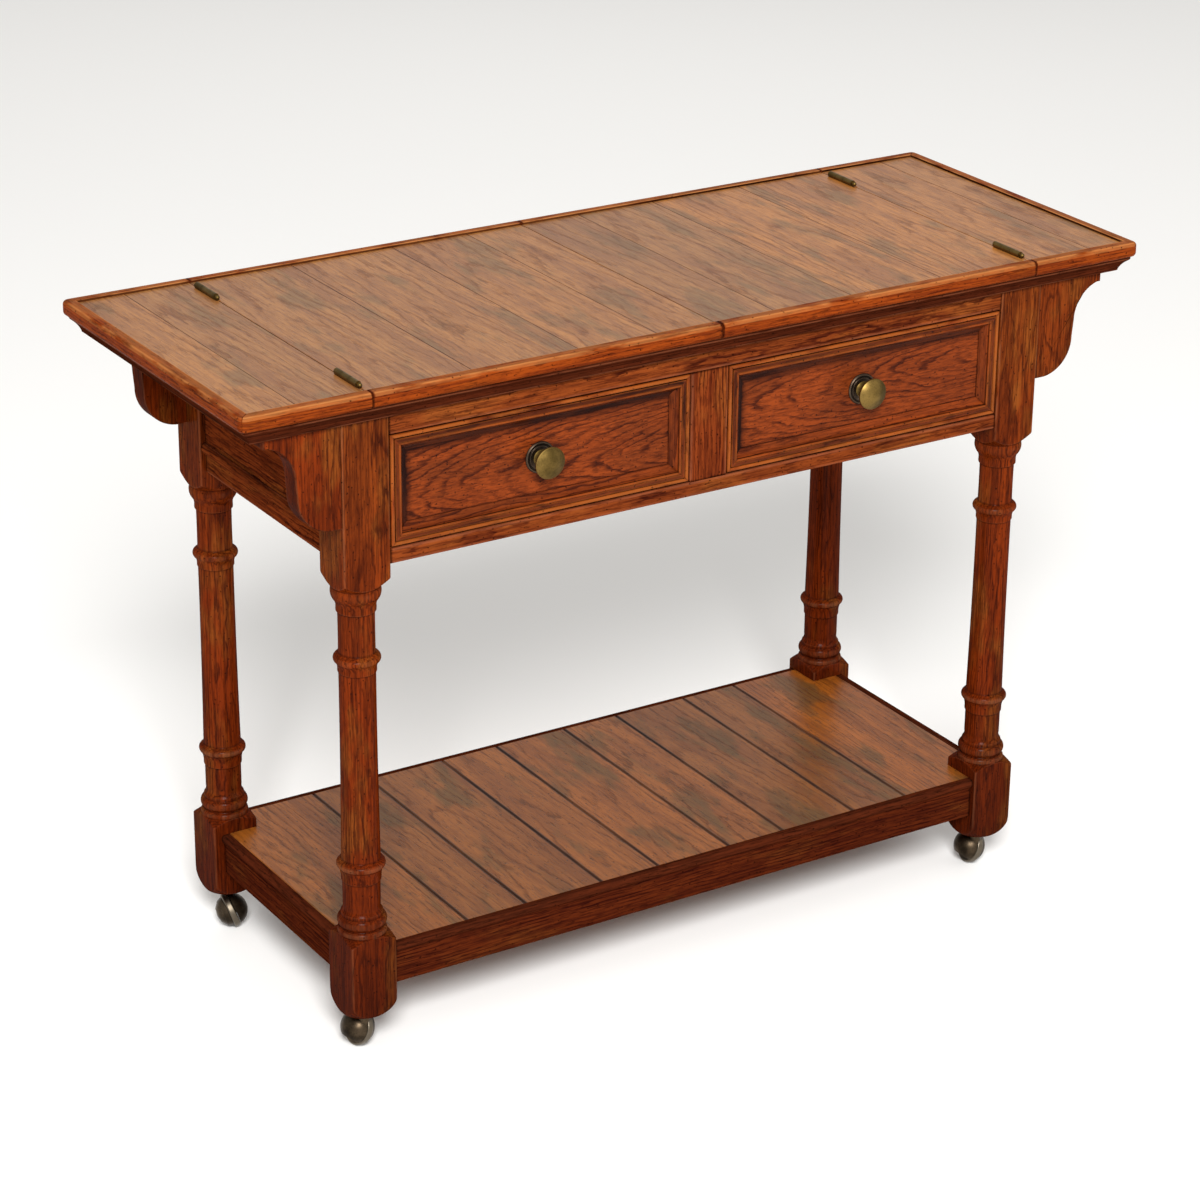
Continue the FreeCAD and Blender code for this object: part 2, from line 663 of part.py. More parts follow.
def front_rail(x0, x1, z0, z1):
    """A rail or stile of the front frame, with its long front arrises eased."""
    bar = box(x0, x1, RAIL_FRONT, RAIL_BACK, z0, z1)
    upright = x1 - x0 < z1 - z0

    def long_way(e):
        a, b = ends(e)
        return near(a.x, b.x) if upright else near(a.z, b.z)

    arrises = [e for e in bar.Edges if all(near(p.y, RAIL_FRONT) for p in ends(e)) and long_way(e)]
    return bar.makeFillet(RAIL_ARRIS, arrises)


# Drawers
def front_edges(side):
    """The low and high X of a drawer front."""
    near_x = HALF_STILE + DRAWER_GAP
    far_x = LEG_INNER_X - DRAWER_GAP
    return (near_x, far_x) if side > 0 else (-far_x, -near_x)


def drawer_bottom(side):
    """The drawer's bottom, held in grooves in its sides and front."""
    near_x = BOX_NEAR_X + DRAWER_SIDE_THICKNESS - DRAWER_GROOVE
    far_x = BOX_FAR_X - DRAWER_SIDE_THICKNESS + DRAWER_GROOVE
    front = PANEL_BACK - DRAWER_GROOVE
    return box(side * near_x, side * far_x, front, BOX_BACK, BOTTOM_LOW, BOTTOM_HIGH)


def drawer_front(side):
    """The flat panel, grooved for the bottom and bored for the knob's screw."""
    x0, x1 = front_edges(side)
    panel = box(x0, x1, PANEL_FRONT, PANEL_BACK, FRONT_LOW, FRONT_HIGH)
    start = V(side * KNOB_X, PANEL_FRONT, KNOB_Z)
    hole = rod(KNOB_SCREW_RADIUS, DRAWER_PANEL_THICKNESS, start, V(0, 1, 0))
    return only_solid(panel.cut(drawer_bottom(side)).cut(hole))


def drawer_moulding(side):
    """Four mitred lengths of moulding round the face of a drawer front."""
    x0, x1 = front_edges(side)
    z0, z1 = FRONT_LOW, FRONT_HIGH
    width = FRONT_MOULDING_WIDTH
    steps = sized(FRONT_MOULDING_SHARES, width, -FRONT_MOULDING_RISE)
    along_x = V(x1 - x0, 0, 0)
    along_z = V(0, 0, z1 - z0)
    inner_x0, inner_x1, inner_z0, inner_z1 = x0 + width, x1 - width, z0 + width, z1 - width
    places = (
        (lambda u, v: V(x0, PANEL_FRONT + v, z0 + u), along_x,
         [(x0, z0), (x1, z0), (inner_x1, inner_z0), (inner_x0, inner_z0)]),
        (lambda u, v: V(x0, PANEL_FRONT + v, z1 - u), along_x,
         [(x0, z1), (x1, z1), (inner_x1, inner_z1), (inner_x0, inner_z1)]),
        (lambda u, v: V(x0 + u, PANEL_FRONT + v, z0), along_z,
         [(x0, z0), (x0, z1), (inner_x0, inner_z1), (inner_x0, inner_z0)]),
        (lambda u, v: V(x1 - u, PANEL_FRONT + v, z0), along_z,
         [(x1, z0), (x1, z1), (inner_x1, inner_z1), (inner_x1, inner_z0)]),
    )
    lengths = []
    for to_space, along, corners in places:
        bar = outline_face((0, 0), steps, to_space).extrude(along)
        room = outline_face(corners[0], [(c,) for c in corners[1:]], lambda x, z: V(x, PANEL_FRONT, z))
        lengths.append(only_solid(bar.common(room.extrude(V(0, -FRONT_MOULDING_RISE - OVERRUN, 0)))))
    return lengths


def drawer_box(side):
    """Two grooved sides, and a back that stands on the bottom between them."""
    bottom = drawer_bottom(side)
    near_inside = BOX_NEAR_X + DRAWER_SIDE_THICKNESS
    far_inside = BOX_FAR_X - DRAWER_SIDE_THICKNESS
    near_side = box(side * BOX_NEAR_X, side * near_inside, PANEL_BACK, BOX_BACK, BOX_LOW, BOX_HIGH)
    far_side = box(side * far_inside, side * BOX_FAR_X, PANEL_BACK, BOX_BACK, BOX_LOW, BOX_HIGH)
    back_front = BOX_BACK - DRAWER_BACK_THICKNESS
    back_high = BOX_HIGH - DRAWER_BACK_DROP
    back = box(side * near_inside, side * far_inside, back_front, BOX_BACK, BOTTOM_HIGH, back_high)
    return [only_solid(near_side.cut(bottom)), only_solid(far_side.cut(bottom)), back]


def drawer_runners():
    """A ledge and a guide strip under each side of each drawer, and a kicker above it."""
    inner = BOX_NEAR_X + DRAWER_SIDE_THICKNESS
    ledge_low = OPENING_BOTTOM - RUNNER_HEIGHT
    guide_high = OPENING_BOTTOM + GUIDE_HEIGHT
    pieces = [
        box(-inner, inner, RAIL_BACK, BACK_APRON_FRONT, OPENING_TOP, DECK_BOTTOM),
        box(-inner, inner, RAIL_BACK, BACK_APRON_FRONT, ledge_low, OPENING_BOTTOM),
        box(-HALF_STILE, HALF_STILE, RAIL_BACK, BACK_APRON_FRONT, OPENING_BOTTOM, guide_high),
    ]
    for side in (-1, 1):
        outer = side * LEG_INNER_X
        edge = side * (LEG_INNER_X - RUNNER_LEDGE)
        pieces.append(box(edge, outer, RAIL_BACK, BACK_APRON_FRONT, OPENING_TOP, DECK_BOTTOM))
        pieces.append(box(edge, outer, RAIL_BACK, BACK_APRON_FRONT, ledge_low, OPENING_BOTTOM))
        pieces.append(box(outer, side * APRON_INNER_X, -LEG_INNER_Y, LEG_INNER_Y, ledge_low, guide_high))
    return pieces


# Knobs, turned about a line along Y through the drawer front
def turned_at_knob(side, start, steps, base):
    """Turn an outline of radius and height about a knob's axis, from the plane y = base."""
    face = outline_face(start, steps, lambda r, out: V(side * KNOB_X + r, base - out, KNOB_Z))
    return face.revolve(V(side * KNOB_X, 0, KNOB_Z), V(0, 1, 0), FULL_TURN)


def knob_plate(side):
    """The stepped round plate behind a knob."""
    steps = sized(PLATE_OUTLINE_SHARES, PLATE_RADIUS, PLATE_THICKNESS)
    steps.append(((KNOB_SCREW_RADIUS, PLATE_THICKNESS),))
    return only_solid(turned_at_knob(side, (KNOB_SCREW_RADIUS, 0), steps, PANEL_FRONT))


def knob(side):
    """A mushroom knob with a waisted neck and a low domed face."""
    base = PANEL_FRONT - PLATE_THICKNESS
    top = KNOB_RIM_HEIGHT + KNOB_CAP_HEIGHT
    cap_radius = (KNOB_RADIUS ** 2 + KNOB_CAP_HEIGHT ** 2) / (2 * KNOB_CAP_HEIGHT)
    half_angle = math.asin(KNOB_RADIUS / cap_radius) / 2
    cap_middle = (cap_radius * math.sin(half_angle), top - cap_radius * (1 - math.cos(half_angle)))
    steps = sized(KNOB_OUTLINE_SHARES, KNOB_RADIUS, KNOB_RIM_HEIGHT)
    steps.append((cap_middle, (0, top)))
    body = turned_at_knob(side, (0, 0), steps, base)
    hole = rod(KNOB_SCREW_RADIUS, KNOB_SCREW_BITE, V(side * KNOB_X, base, KNOB_Z), V(0, -1, 0))
    return only_solid(body.cut(hole))


def knob_screw(side):
    """The screw from inside the drawer, through its front and the plate into the knob."""
    length = DRAWER_PANEL_THICKNESS + PLATE_THICKNESS + KNOB_SCREW_BITE
    start = V(side * KNOB_X, PANEL_BACK, KNOB_Z)
    shank = rod(KNOB_SCREW_RADIUS, length, start, V(0, -1, 0))
    head = rod(KNOB_SCREW_HEAD_RADIUS, KNOB_SCREW_HEAD_HEIGHT, start, V(0, 1, 0))
    return only_solid(shank.fuse(head))


# Shelf
def foot_square(corner_x, corner_y):
    """The square column that a foot fills at the shelf's level."""
    inner_x, outer_x = corner_x * LEG_INNER_X, corner_x * LEG_OUTER_X
    inner_y, outer_y = corner_y * LEG_INNER_Y, corner_y * LEG_OUTER_Y
    return box(inner_x, outer_x, inner_y, outer_y, 0, BLOCK_SHOULDER)


def shelf_boards():
    """Boards that run front to back, notched round the feet."""
    end = SHELF_END - NOSING_WIDTH
    side = SHELF_SIDE - NOSING_WIDTH
    boards = row_of_boards(-end, end, SHELF_SEAM_SHARES, -side, side, SHELF_BOTTOM, SHELF_TOP, SHELF_GROOVE)
    for corner in CORNERS.values():
        boards = [board.cut(foot_square(*corner)) for board in boards]
    return [only_solid(board) for board in boards]


def edge_bars(end, side, width, low, high, arris):
    """Four bars between the feet along the shelf's edges, with their outer arrises rounded."""
    bars = []
    for way in (-1, 1):
        long_bar = box(-LEG_INNER_X, LEG_INNER_X, way * (side - width), way * side, low, high)
        bars.append(rounded(long_bar, arris, lambda p: near(p.y, way * side)))
        end_bar = box(way * (end - width), way * end, -LEG_INNER_Y, LEG_INNER_Y, low, high)
        bars.append(rounded(end_bar, arris, lambda p: near(p.x, way * end)))
    return bars


def shelf_nosing():
    """The rounded strips along the four edges of the shelf."""
    return edge_bars(SHELF_END, SHELF_SIDE, NOSING_WIDTH, SHELF_BOTTOM, SHELF_TOP, NOSING_ROUND)


def shelf_rails():
    """The rails under the shelf's edges, from foot to foot."""
    end = SHELF_END - SHELF_RAIL_SETBACK
    side = SHELF_SIDE - SHELF_RAIL_SETBACK
    low = SHELF_BOTTOM - SHELF_RAIL_HEIGHT
    return edge_bars(end, side, SHELF_RAIL_THICKNESS, low, SHELF_BOTTOM, RAIL_ARRIS)


# Casters, made about the swivel axis with the trail along Y and the wheel's open side
# towards X, and then turned into place. The wheel's own axis runs along X before its tilt.
def tilted(shape):
    """Tip a piece made about the X axis to the wheel's tilt, and carry it to the wheel."""
    shape.rotate(V(0, 0, 0), V(0, 1, 0), WHEEL_TILT_DEGREES)
    shape.translate(V(0, SWIVEL_TRAIL, WHEEL_CENTRE_Z))
    return shape


def caster_axle():
    """The pin that the wheel turns on, held in the hood's boss."""
    start = -HOOD_RADIUS + HOOD_WALL / 2
    return tilted(rod(AXLE_RADIUS, AXLE_REACH - start, V(start, 0, 0), V(1, 0, 0)))


def caster_wheel():
    """The wheel: a hub towards the hood, a tread in the middle and a ringed dome outside."""
    bore = AXLE_RADIUS + AXLE_CLEARANCE
    edge = WHEEL_TREAD_ROUND
    corner = edge * (1 - math.sqrt(1 / 2))
    hub_end = -HALF_TREAD - WHEEL_HUB_LENGTH
    blind_end = AXLE_REACH + HOOD_GAP

    def on_dome(degrees, inset):
        angle = math.radians(degrees)
        radius = WHEEL_DOME_RADIUS - inset
        return (radius * math.sin(angle), radius * math.cos(angle))

    steps = [
        ((hub_end, WHEEL_HUB_RADIUS),),
        ((-HALF_TREAD, WHEEL_HUB_RADIUS),),
        ((-HALF_TREAD, WHEEL_RADIUS - edge),),
        ((-HALF_TREAD + corner, WHEEL_RADIUS - corner), (-HALF_TREAD + edge, WHEEL_RADIUS)),
        ((HALF_TREAD - edge, WHEEL_RADIUS),),
        ((HALF_TREAD - corner, WHEEL_RADIUS - corner), (HALF_TREAD, WHEEL_RADIUS - edge)),
    ]
    angle = math.degrees(math.asin(HALF_TREAD / WHEEL_DOME_RADIUS))
    inset = 0
    steps.append((on_dome(angle, inset),))
    for ring_angle in WHEEL_RING_DEGREES + (90,):
        steps.append((on_dome((angle + ring_angle) / 2, inset), on_dome(ring_angle, inset)))
        inset += WHEEL_DOME_RING
        angle = ring_angle
        if angle < 90:
            steps.append((on_dome(angle, inset),))
    steps += [
        ((blind_end, 0),),
        ((blind_end, bore),),
    ]
    face = outline_face((hub_end, bore), steps, lambda s, r: V(s, r, 0))
    return tilted(only_solid(face.revolve(V(0, 0, 0), V(1, 0, 0), FULL_TURN)))


def caster_hood():
    """The domed hood over the wheel's inner side, with the stem that it swivels on."""
    rim = -HALF_TREAD - HOOD_GAP
    span = 2 * HOOD_RADIUS
    outer = Part.makeSphere(HOOD_RADIUS)
    inner = Part.makeSphere(HOOD_RADIUS - HOOD_WALL)
    half_space = box(-span, rim, -span, span, -span, span)
    boss_end = -HALF_TREAD - WHEEL_HUB_LENGTH - HOOD_GAP
    boss = rod(WHEEL_HUB_RADIUS, boss_end + HOOD_RADIUS, V(-HOOD_RADIUS, 0, 0), V(1, 0, 0)).common(outer)
    shell = outer.cut(inner).common(half_space).fuse(boss)
    wheel_room = rod(WHEEL_RADIUS + HOOD_GAP, span, V(rim, 0, 0), V(1, 0, 0))
    wheel_room = tilted(wheel_room.fuse(inner.cut(boss)))
    hood = tilted(shell)
    neck = rod(SWIVEL_NECK_RADIUS, SWIVEL_NECK_HEIGHT, V(0, 0, WHEEL_CENTRE_Z), V(0, 0, 1)).cut(wheel_room)
    neck_top = max(neck.Solids, key=lambda solid: solid.BoundBox.ZMax)
    stem = rod(STEM_RADIUS, SWIVEL_GAP + STEM_LENGTH, V(0, 0, SWIVEL_NECK_TOP), V(0, 0, 1))
    hood = hood.fuse(neck_top).fuse(stem).cut(caster_axle())
    cut_angle = math.radians(HOOD_CUT_DEGREES)
    down = V(-math.sin(cut_angle), 0, -math.cos(cut_angle))
    cutter = Part.makeBox(2 * span, 2 * span, span, V(-span, -span, 0))
    cutter.Placement = FreeCAD.Placement(
        V(0, SWIVEL_TRAIL, WHEEL_CENTRE_Z) + down * HOOD_CUT_DISTANCE,
        FreeCAD.Rotation(V(0, 0, 1), down),
    ).multiply(cutter.Placement)
    return only_solid(hood.cut(cutter))


def caster_socket():
    """The flanged sleeve pressed into a foot, which the swivel stem turns in."""
    flange = rod(SOCKET_FLANGE_RADIUS, SOCKET_FLANGE_THICKNESS, V(0, 0, SOCKET_BOTTOM), V(0, 0, 1))
    sleeve = rod(SOCKET_RADIUS, SOCKET_DEPTH, V(0, 0, LEG_BOTTOM), V(0, 0, 1))
    bore_length = SOCKET_FLANGE_THICKNESS + STEM_LENGTH
    bore = rod(STEM_RADIUS + STEM_CLEARANCE, bore_length, V(0, 0, SOCKET_BOTTOM), V(0, 0, 1))
    return only_solid(flange.fuse(sleeve).cut(bore))


def place_caster(shape, name):
    """Turn a caster piece to its corner's swivel angle and carry it to the corner."""
    placed = shape.copy()
    placed.rotate(V(0, 0, 0), V(0, 0, 1), CASTER_TURN_DEGREES[name])
    corner_x, corner_y = CORNERS[name]
    placed.translate(V(corner_x * LEG_CENTRE_X, corner_y * LEG_CENTRE_Y, 0))
    return placed


# Build every sub-part
both = (-1, 1)
ring = rim_ring()
SIDES = {
    "left": (-1, LEFT_END_SEAM_SHARES, LEFT_LEAF_SEAM_SHARES),
    "right": (1, RIGHT_END_SEAM_SHARES, RIGHT_LEAF_SEAM_SHARES),
}
for name, (side, end_shares, leaf_shares) in SIDES.items():
    save(name + "_end_boards", end_boards(side, end_shares))
    save(name + "_end_rim", end_rim(ring, side))
    save(name + "_leaf_boards", leaf_boards(side, leaf_shares))
    save(name + "_leaf_rim", leaf_rim(ring, side))
    save(name + "_leaf_hinge_plates", [hinge_half(side, y, -1) for y in HINGE_CENTRES_Y])
    save(name + "_leaf_hinge_screws", [s for y in HINGE_CENTRES_Y for s in hinge_screws(side, y, -1)])
    save(name + "_side_apron", [side_apron(side)])
    save(name + "_drawer_front", [drawer_front(side)])
    save(name + "_drawer_moulding", drawer_moulding(side))
    save(name + "_drawer_box", drawer_box(side))
    save(name + "_drawer_bottom", [drawer_bottom(side)])
    save(name + "_knob", [knob(side)])
    save(name + "_knob_plate", [knob_plate(side)])
    save(name + "_knob_screw", [knob_screw(side)])

hinges = [(side, y) for side in both for y in HINGE_CENTRES_Y]
save("hinge_fixed_plates", [hinge_half(side, y, 1) for side, y in hinges])
save("hinge_fixed_screws", [screw for side, y in hinges for screw in hinge_screws(side, y, 1)])
save("hinge_pins", [hinge_pin(side, y) for side, y in hinges])

save("serving_deck", [serving_deck()])
save("under_top_moulding", under_top_moulding())
save("back_apron", [back_apron()])
save("side_apron_beads", [apron_bead(side) for side in both])
save("front_top_rail", [front_rail(-LEG_INNER_X, LEG_INNER_X, OPENING_TOP, DECK_BOTTOM)])
save("front_bottom_rail", [front_rail(-LEG_INNER_X, LEG_INNER_X, APRON_BOTTOM, OPENING_BOTTOM)])
save("centre_stile", [front_rail(-HALF_STILE, HALF_STILE, OPENING_BOTTOM, OPENING_TOP)])
save("drawer_runners", drawer_runners())
save("corbels", [corbel(*corner) for corner in CORNERS.values()])
save("shelf_boards", shelf_boards())
save("shelf_nosing", shelf_nosing())
save("shelf_rails", shelf_rails())

socket = caster_socket()
hood = caster_hood()
axle = caster_axle()
wheel = caster_wheel()
save("caster_sockets", [place_caster(socket, name) for name in CORNERS])
for name, corner in CORNERS.items():
    save(name + "_leg", [leg(*corner)])
    save(name + "_caster_hood", [place_caster(hood, name)])
    save(name + "_caster_axle", [place_caster(axle, name)])
    save(name + "_caster_wheel", [place_caster(wheel, name)])
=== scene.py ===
# %% [markdown]
# # A flip-top serving trolley in distressed oak
#
# The real piece is a small trolley in red oak. Its top is two hinged leaves between two
# fixed ends, all edged with a raised rim. Below are a cove moulding, two drawers with
# applied mouldings, turned legs, a planked shelf and four ball casters.
#
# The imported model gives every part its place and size, so this lesson only has to make the
# surfaces as a joiner, a turner and a finisher would leave them. Each new piece takes its
# extent from the node that it stands for. The outlines within that extent and the colours
# are read off the photograph.

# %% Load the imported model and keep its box
import json
import math

import bpy
import numpy as np
from mathutils import Matrix, Vector


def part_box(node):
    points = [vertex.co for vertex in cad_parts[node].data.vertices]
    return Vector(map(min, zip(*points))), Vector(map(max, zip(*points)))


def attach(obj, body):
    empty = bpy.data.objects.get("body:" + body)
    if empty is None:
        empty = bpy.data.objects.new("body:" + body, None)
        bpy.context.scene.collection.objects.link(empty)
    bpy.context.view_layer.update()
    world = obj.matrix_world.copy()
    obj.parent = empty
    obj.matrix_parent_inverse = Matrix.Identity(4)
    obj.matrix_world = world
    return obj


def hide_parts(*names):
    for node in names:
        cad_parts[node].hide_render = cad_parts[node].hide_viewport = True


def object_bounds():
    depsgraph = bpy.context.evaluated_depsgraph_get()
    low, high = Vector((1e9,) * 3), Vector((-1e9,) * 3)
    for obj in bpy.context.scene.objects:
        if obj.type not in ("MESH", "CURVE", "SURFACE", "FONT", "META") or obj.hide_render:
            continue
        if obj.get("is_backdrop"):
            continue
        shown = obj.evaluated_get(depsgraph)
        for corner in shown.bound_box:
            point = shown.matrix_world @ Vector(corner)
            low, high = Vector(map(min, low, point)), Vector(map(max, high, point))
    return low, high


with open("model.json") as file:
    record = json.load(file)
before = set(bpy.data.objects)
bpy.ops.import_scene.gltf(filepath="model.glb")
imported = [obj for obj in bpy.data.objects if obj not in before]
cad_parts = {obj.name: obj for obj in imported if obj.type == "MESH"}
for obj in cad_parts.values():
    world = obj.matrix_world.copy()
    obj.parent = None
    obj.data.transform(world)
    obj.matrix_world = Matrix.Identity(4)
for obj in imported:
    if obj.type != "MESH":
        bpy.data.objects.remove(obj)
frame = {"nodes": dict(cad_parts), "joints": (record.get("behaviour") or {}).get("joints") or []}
cad_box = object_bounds()
MM = 0.001
print("CAD box in mm", [[round(v / MM, 2) for v in corner] for corner in cad_box])

# %% [markdown]
# ## Camera
#
# The photograph was taken from the front left with a long lens that looks down on the top
# by some 23 degrees. The camera's turn, height and distance come from fitting the corners of
# the top, the deck, the legs and the shelf, so it stands here as it stood there. A camera
# looks along its own -Z with +Y up, and its matrix is built from those directions.

# %% Camera at the photograph's viewing angle
PICTURE_PIXELS = 1200
FOCAL_PIXELS = 3538.99
SENSOR_MM = 36.0
TURN, RISE, ROLL = (math.radians(angle) for angle in (-32.171, 23.322, 0.58))
CAMERA_DISTANCE = 3.981
CAMERA_TARGET = Vector((-0.023051, -0.012640, 0.382414))

level_towards = Vector((math.sin(TURN), -math.cos(TURN), 0))
towards_camera = level_towards * math.cos(RISE) + Vector((0, 0, math.sin(RISE)))
level_right = (-towards_camera).cross(Vector((0, 0, 1))).normalized()
level_up = level_right.cross(-towards_camera)
picture_right = level_right * math.cos(ROLL) + level_up * math.sin(ROLL)
picture_up = level_up * math.cos(ROLL) - level_right * math.sin(ROLL)

camera_data = bpy.data.cameras.new("studio_camera")
camera_data.sensor_width = SENSOR_MM
camera_data.lens = FOCAL_PIXELS * SENSOR_MM / PICTURE_PIXELS
camera_data.clip_end = 100
camera = bpy.data.objects.new("studio_camera", camera_data)
bpy.context.scene.collection.objects.link(camera)
camera_axes = Matrix((picture_right, picture_up, towards_camera)).transposed()
camera_place = CAMERA_TARGET + towards_camera * CAMERA_DISTANCE
camera.matrix_world = Matrix.Translation(camera_place) @ camera_axes.to_4x4()
bpy.context.scene.camera = camera
print("lens", round(camera_data.lens, 2), "mm, camera at", [round(v, 3) for v in camera.location])

# %% [markdown]
# ## Floor and light
#
# A furniture studio lights such a piece with large soft boxes over a white floor. One big
# box from the front left shapes the turned legs, a weak one from the right opens the
# shadows, and a weaker one behind lies in the mirror direction of the top, where it gives
# the lacquer a faint sheen. The white world fills the rest.

# %% Floor, sky and soft boxes
def linear(code, alpha=1.0):
    """The linear colour of an sRGB hex code: a channel c is c / 12.92 where it is dark, and
    ((c + 0.055) / 1.055) ** 2.4 where it isn't."""
    channels = np.array([int(code[i:i + 2], 16) for i in (1, 3, 5)]) / 255
    low, high = channels / 12.92, ((channels + 0.055) / 1.055) ** 2.4
    return tuple(np.where(channels <= 0.04045, low, high)) + (alpha,)


FLOOR_HALF = 40.0
floor_mesh = bpy.data.meshes.new("studio_floor")
floor_corners = [(x * FLOOR_HALF, y * FLOOR_HALF, 0) for x, y in ((-1, -1), (1, -1), (1, 1), (-1, 1))]
floor_mesh.from_pydata(floor_corners, [], [(0, 1, 2, 3)])
floor = bpy.data.objects.new("studio_floor", floor_mesh)
bpy.context.scene.collection.objects.link(floor)
floor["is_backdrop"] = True

world = bpy.data.worlds.new("studio_white")
world.use_nodes = True
world.node_tree.nodes["Background"].inputs["Color"].default_value = linear("#FBFAF8")
world.node_tree.nodes["Background"].inputs["Strength"].default_value = 0.62
bpy.context.scene.world = world
bpy.context.scene.view_settings.view_transform = "Standard"

# A box has its place and its side in metres and its power in watts, and faces the trolley.
LIGHT_TARGET = Vector((0, 0, 0.45))
SOFT_BOXES = {
    "key_box": ((-2.9, -5.1, 4.8), 2.2, 720.0),
    "fill_box": ((2.8, -2.6, 1.9), 2.4, 20.0),
    "sheen_box": ((2.0, 3.1, 2.3), 3.0, 6.0),
}
for name, (place, side, watts) in SOFT_BOXES.items():
    light_data = bpy.data.lights.new(name, "AREA")
    light_data.size = side
    light_data.energy = watts
    light = bpy.data.objects.new(name, light_data)
    light.location = place
    light.rotation_euler = (Vector(place) - LIGHT_TARGET).to_track_quat("Z", "Y").to_euler()
    bpy.context.scene.collection.objects.link(light)
print("soft boxes", list(SOFT_BOXES))

# %% [markdown]
# ## Outlines
#
# Every moulding here is an outline drawn with straight lines and arcs, as it is on the
# cutter that makes it. Wood never keeps a sharp corner: hands wear the outer ones pale and
# the dark glaze of an antiqued finish stays in the inner ones. So one function eases the
# corners of any outline, and marks the points that are worn and those that hold glaze.

# %% Draw an outline
def arc_points(start, middle, end, pieces):
    """Points on the circle through three points, in equal turns about its centre."""
    a, b, c = (complex(*point) for point in (start, middle, end))
    ratio = (c - a) / (b - a)
    centre = a + (b - a) * (ratio - abs(ratio) ** 2) / (2j * ratio.imag)
    turn = np.angle((b - centre) / (a - centre)) + np.angle((c - centre) / (b - centre))
    places = centre + (a - centre) * np.exp(1j * turn * np.linspace(0, 1, pieces + 1)[1:])
    return np.stack([places.real, places.imag], axis=1)


def traced(start, steps, pieces=8):
    """An outline's points. A step of one point is a line, and a step of two is an arc."""
    runs = [np.array([start], float)]
    for step in steps:
        here = runs[-1][-1]
        runs.append(np.array(step, float) if len(step) == 1 else arc_points(here, *step, pieces))
    return np.concatenate(runs)


def sized(shares, width, height):
    """The steps of an outline given as shares of a width and a height."""
    return [tuple((u * width, v * height) for u, v in step) for step in shares]


def rounded(corner, before, after, radius):
    """Two steps round a corner: a line to the corner + radius * before, and a quarter arc to
    the corner + radius * after. Before and after are the directions of its two sides."""
    corner, before, after = (np.array(part, float) for part in (corner, before, after))
    middle = corner + radius * (1 - math.sqrt(0.5)) * (before + after)
    return [(corner + radius * before,), (middle, corner + radius * after)]


print("an arc over a chord of 10:", arc_points((0, 0), (5, 5), (10, 0), 4).round(2).tolist())

# %% Ease its corners and mark wear and glaze
TINY = 1e-9
CORNER_TURN = math.radians(25)
CURVE_POINTS, LONGEST_CUT = 5, 0.45
BEND_MARK, MOST_BEND_MARK = 1.4, 0.8
ROOMY_SIDE, SHORT_SIDE = 2.2, 1.5


def turning_way(uv):
    """1 for an outline that runs anticlockwise and -1 for a clockwise one: the sign of the
    sum of u_i v_i+1 - u_i+1 v_i, which is twice its area."""
    ahead = np.roll(uv, -1, axis=0)
    return np.sign((uv[:, 0] * ahead[:, 1] - ahead[:, 0] * uv[:, 1]).sum())


def eased(outline, reach=0.8, spread=3.0, closed=True):
    """An outline with its sharp corners rounded, as rows of (u, v, wear, glaze).

    A corner P is cut back by the reach to A and B on its two sides, and the curve
    (1-t)^2 A + 2t(1-t) P + t^2 B bridges the cut. Wear is 1 on corners that stick out and
    glaze is 1 in those that fold in, and both fade over the spread along the sides. On
    curves they follow the bend, which is the turn from side to side over their length.
    """
    here = outline[:-1] if closed and np.allclose(outline[0], outline[-1]) else outline
    ahead = np.roll(here, -1, axis=0) - here
    length = np.maximum(np.hypot(*ahead.T), TINY)
    ahead = ahead / length[:, None]
    back, back_length = np.roll(ahead, 1, axis=0), np.roll(length, 1)
    turn = np.arctan2(back[:, 0] * ahead[:, 1] - back[:, 1] * ahead[:, 0], (back * ahead).sum(1))
    way = turning_way(here) if closed else 1.0
    if not closed:
        turn[[0, -1]] = 0
    sharp = np.abs(turn) > CORNER_TURN
    longest = LONGEST_CUT * np.minimum(length, back_length)
    cut = np.where(sharp, np.minimum(reach, longest), 0)[:, None]
    t = np.linspace(0, 1, CURVE_POINTS)[None, :, None]
    a, b = here - back * cut, here + ahead * cut
    curve = (1 - t) ** 2 * a[:, None] + 2 * t * (1 - t) * here[:, None] + t ** 2 * b[:, None]
    bend = way * turn / (0.5 * (length + back_length))
    mark = np.clip(BEND_MARK * bend, -MOST_BEND_MARK, MOST_BEND_MARK)
    mark = np.where(sharp, way * np.sign(turn), mark)
    left = length - cut[:, 0] - np.roll(cut[:, 0], -1)
    roomy = left > ROOMY_SIDE * spread
    first = b + ahead * np.where(roomy, spread, left / 2)[:, None]
    last = np.roll(a, -1, axis=0) - ahead * spread
    points = np.concatenate([curve, first[:, None], last[:, None]], axis=1)
    marks = np.pad(np.repeat(mark[:, None], CURVE_POINTS, axis=1), ((0, 0), (0, 2)))
    keep = np.repeat(sharp[:, None], CURVE_POINTS, axis=1)
    keep = np.concatenate([keep, (left > SHORT_SIDE)[:, None], roomy[:, None]], axis=1)
    keep[:, 0] = True
    if not closed:
        keep[-1, 1:] = False
    marks = np.maximum(np.stack([marks, -marks], axis=2), 0)
    return np.concatenate([points, marks], axis=2)[keep]


example = eased(np.array([(0, 0), (20, 0), (20, 10), (0, 10)], float))
print("a 20 x 10 board:", len(example), "points,", int((example[:, 2] > 0).sum()), "of them worn")

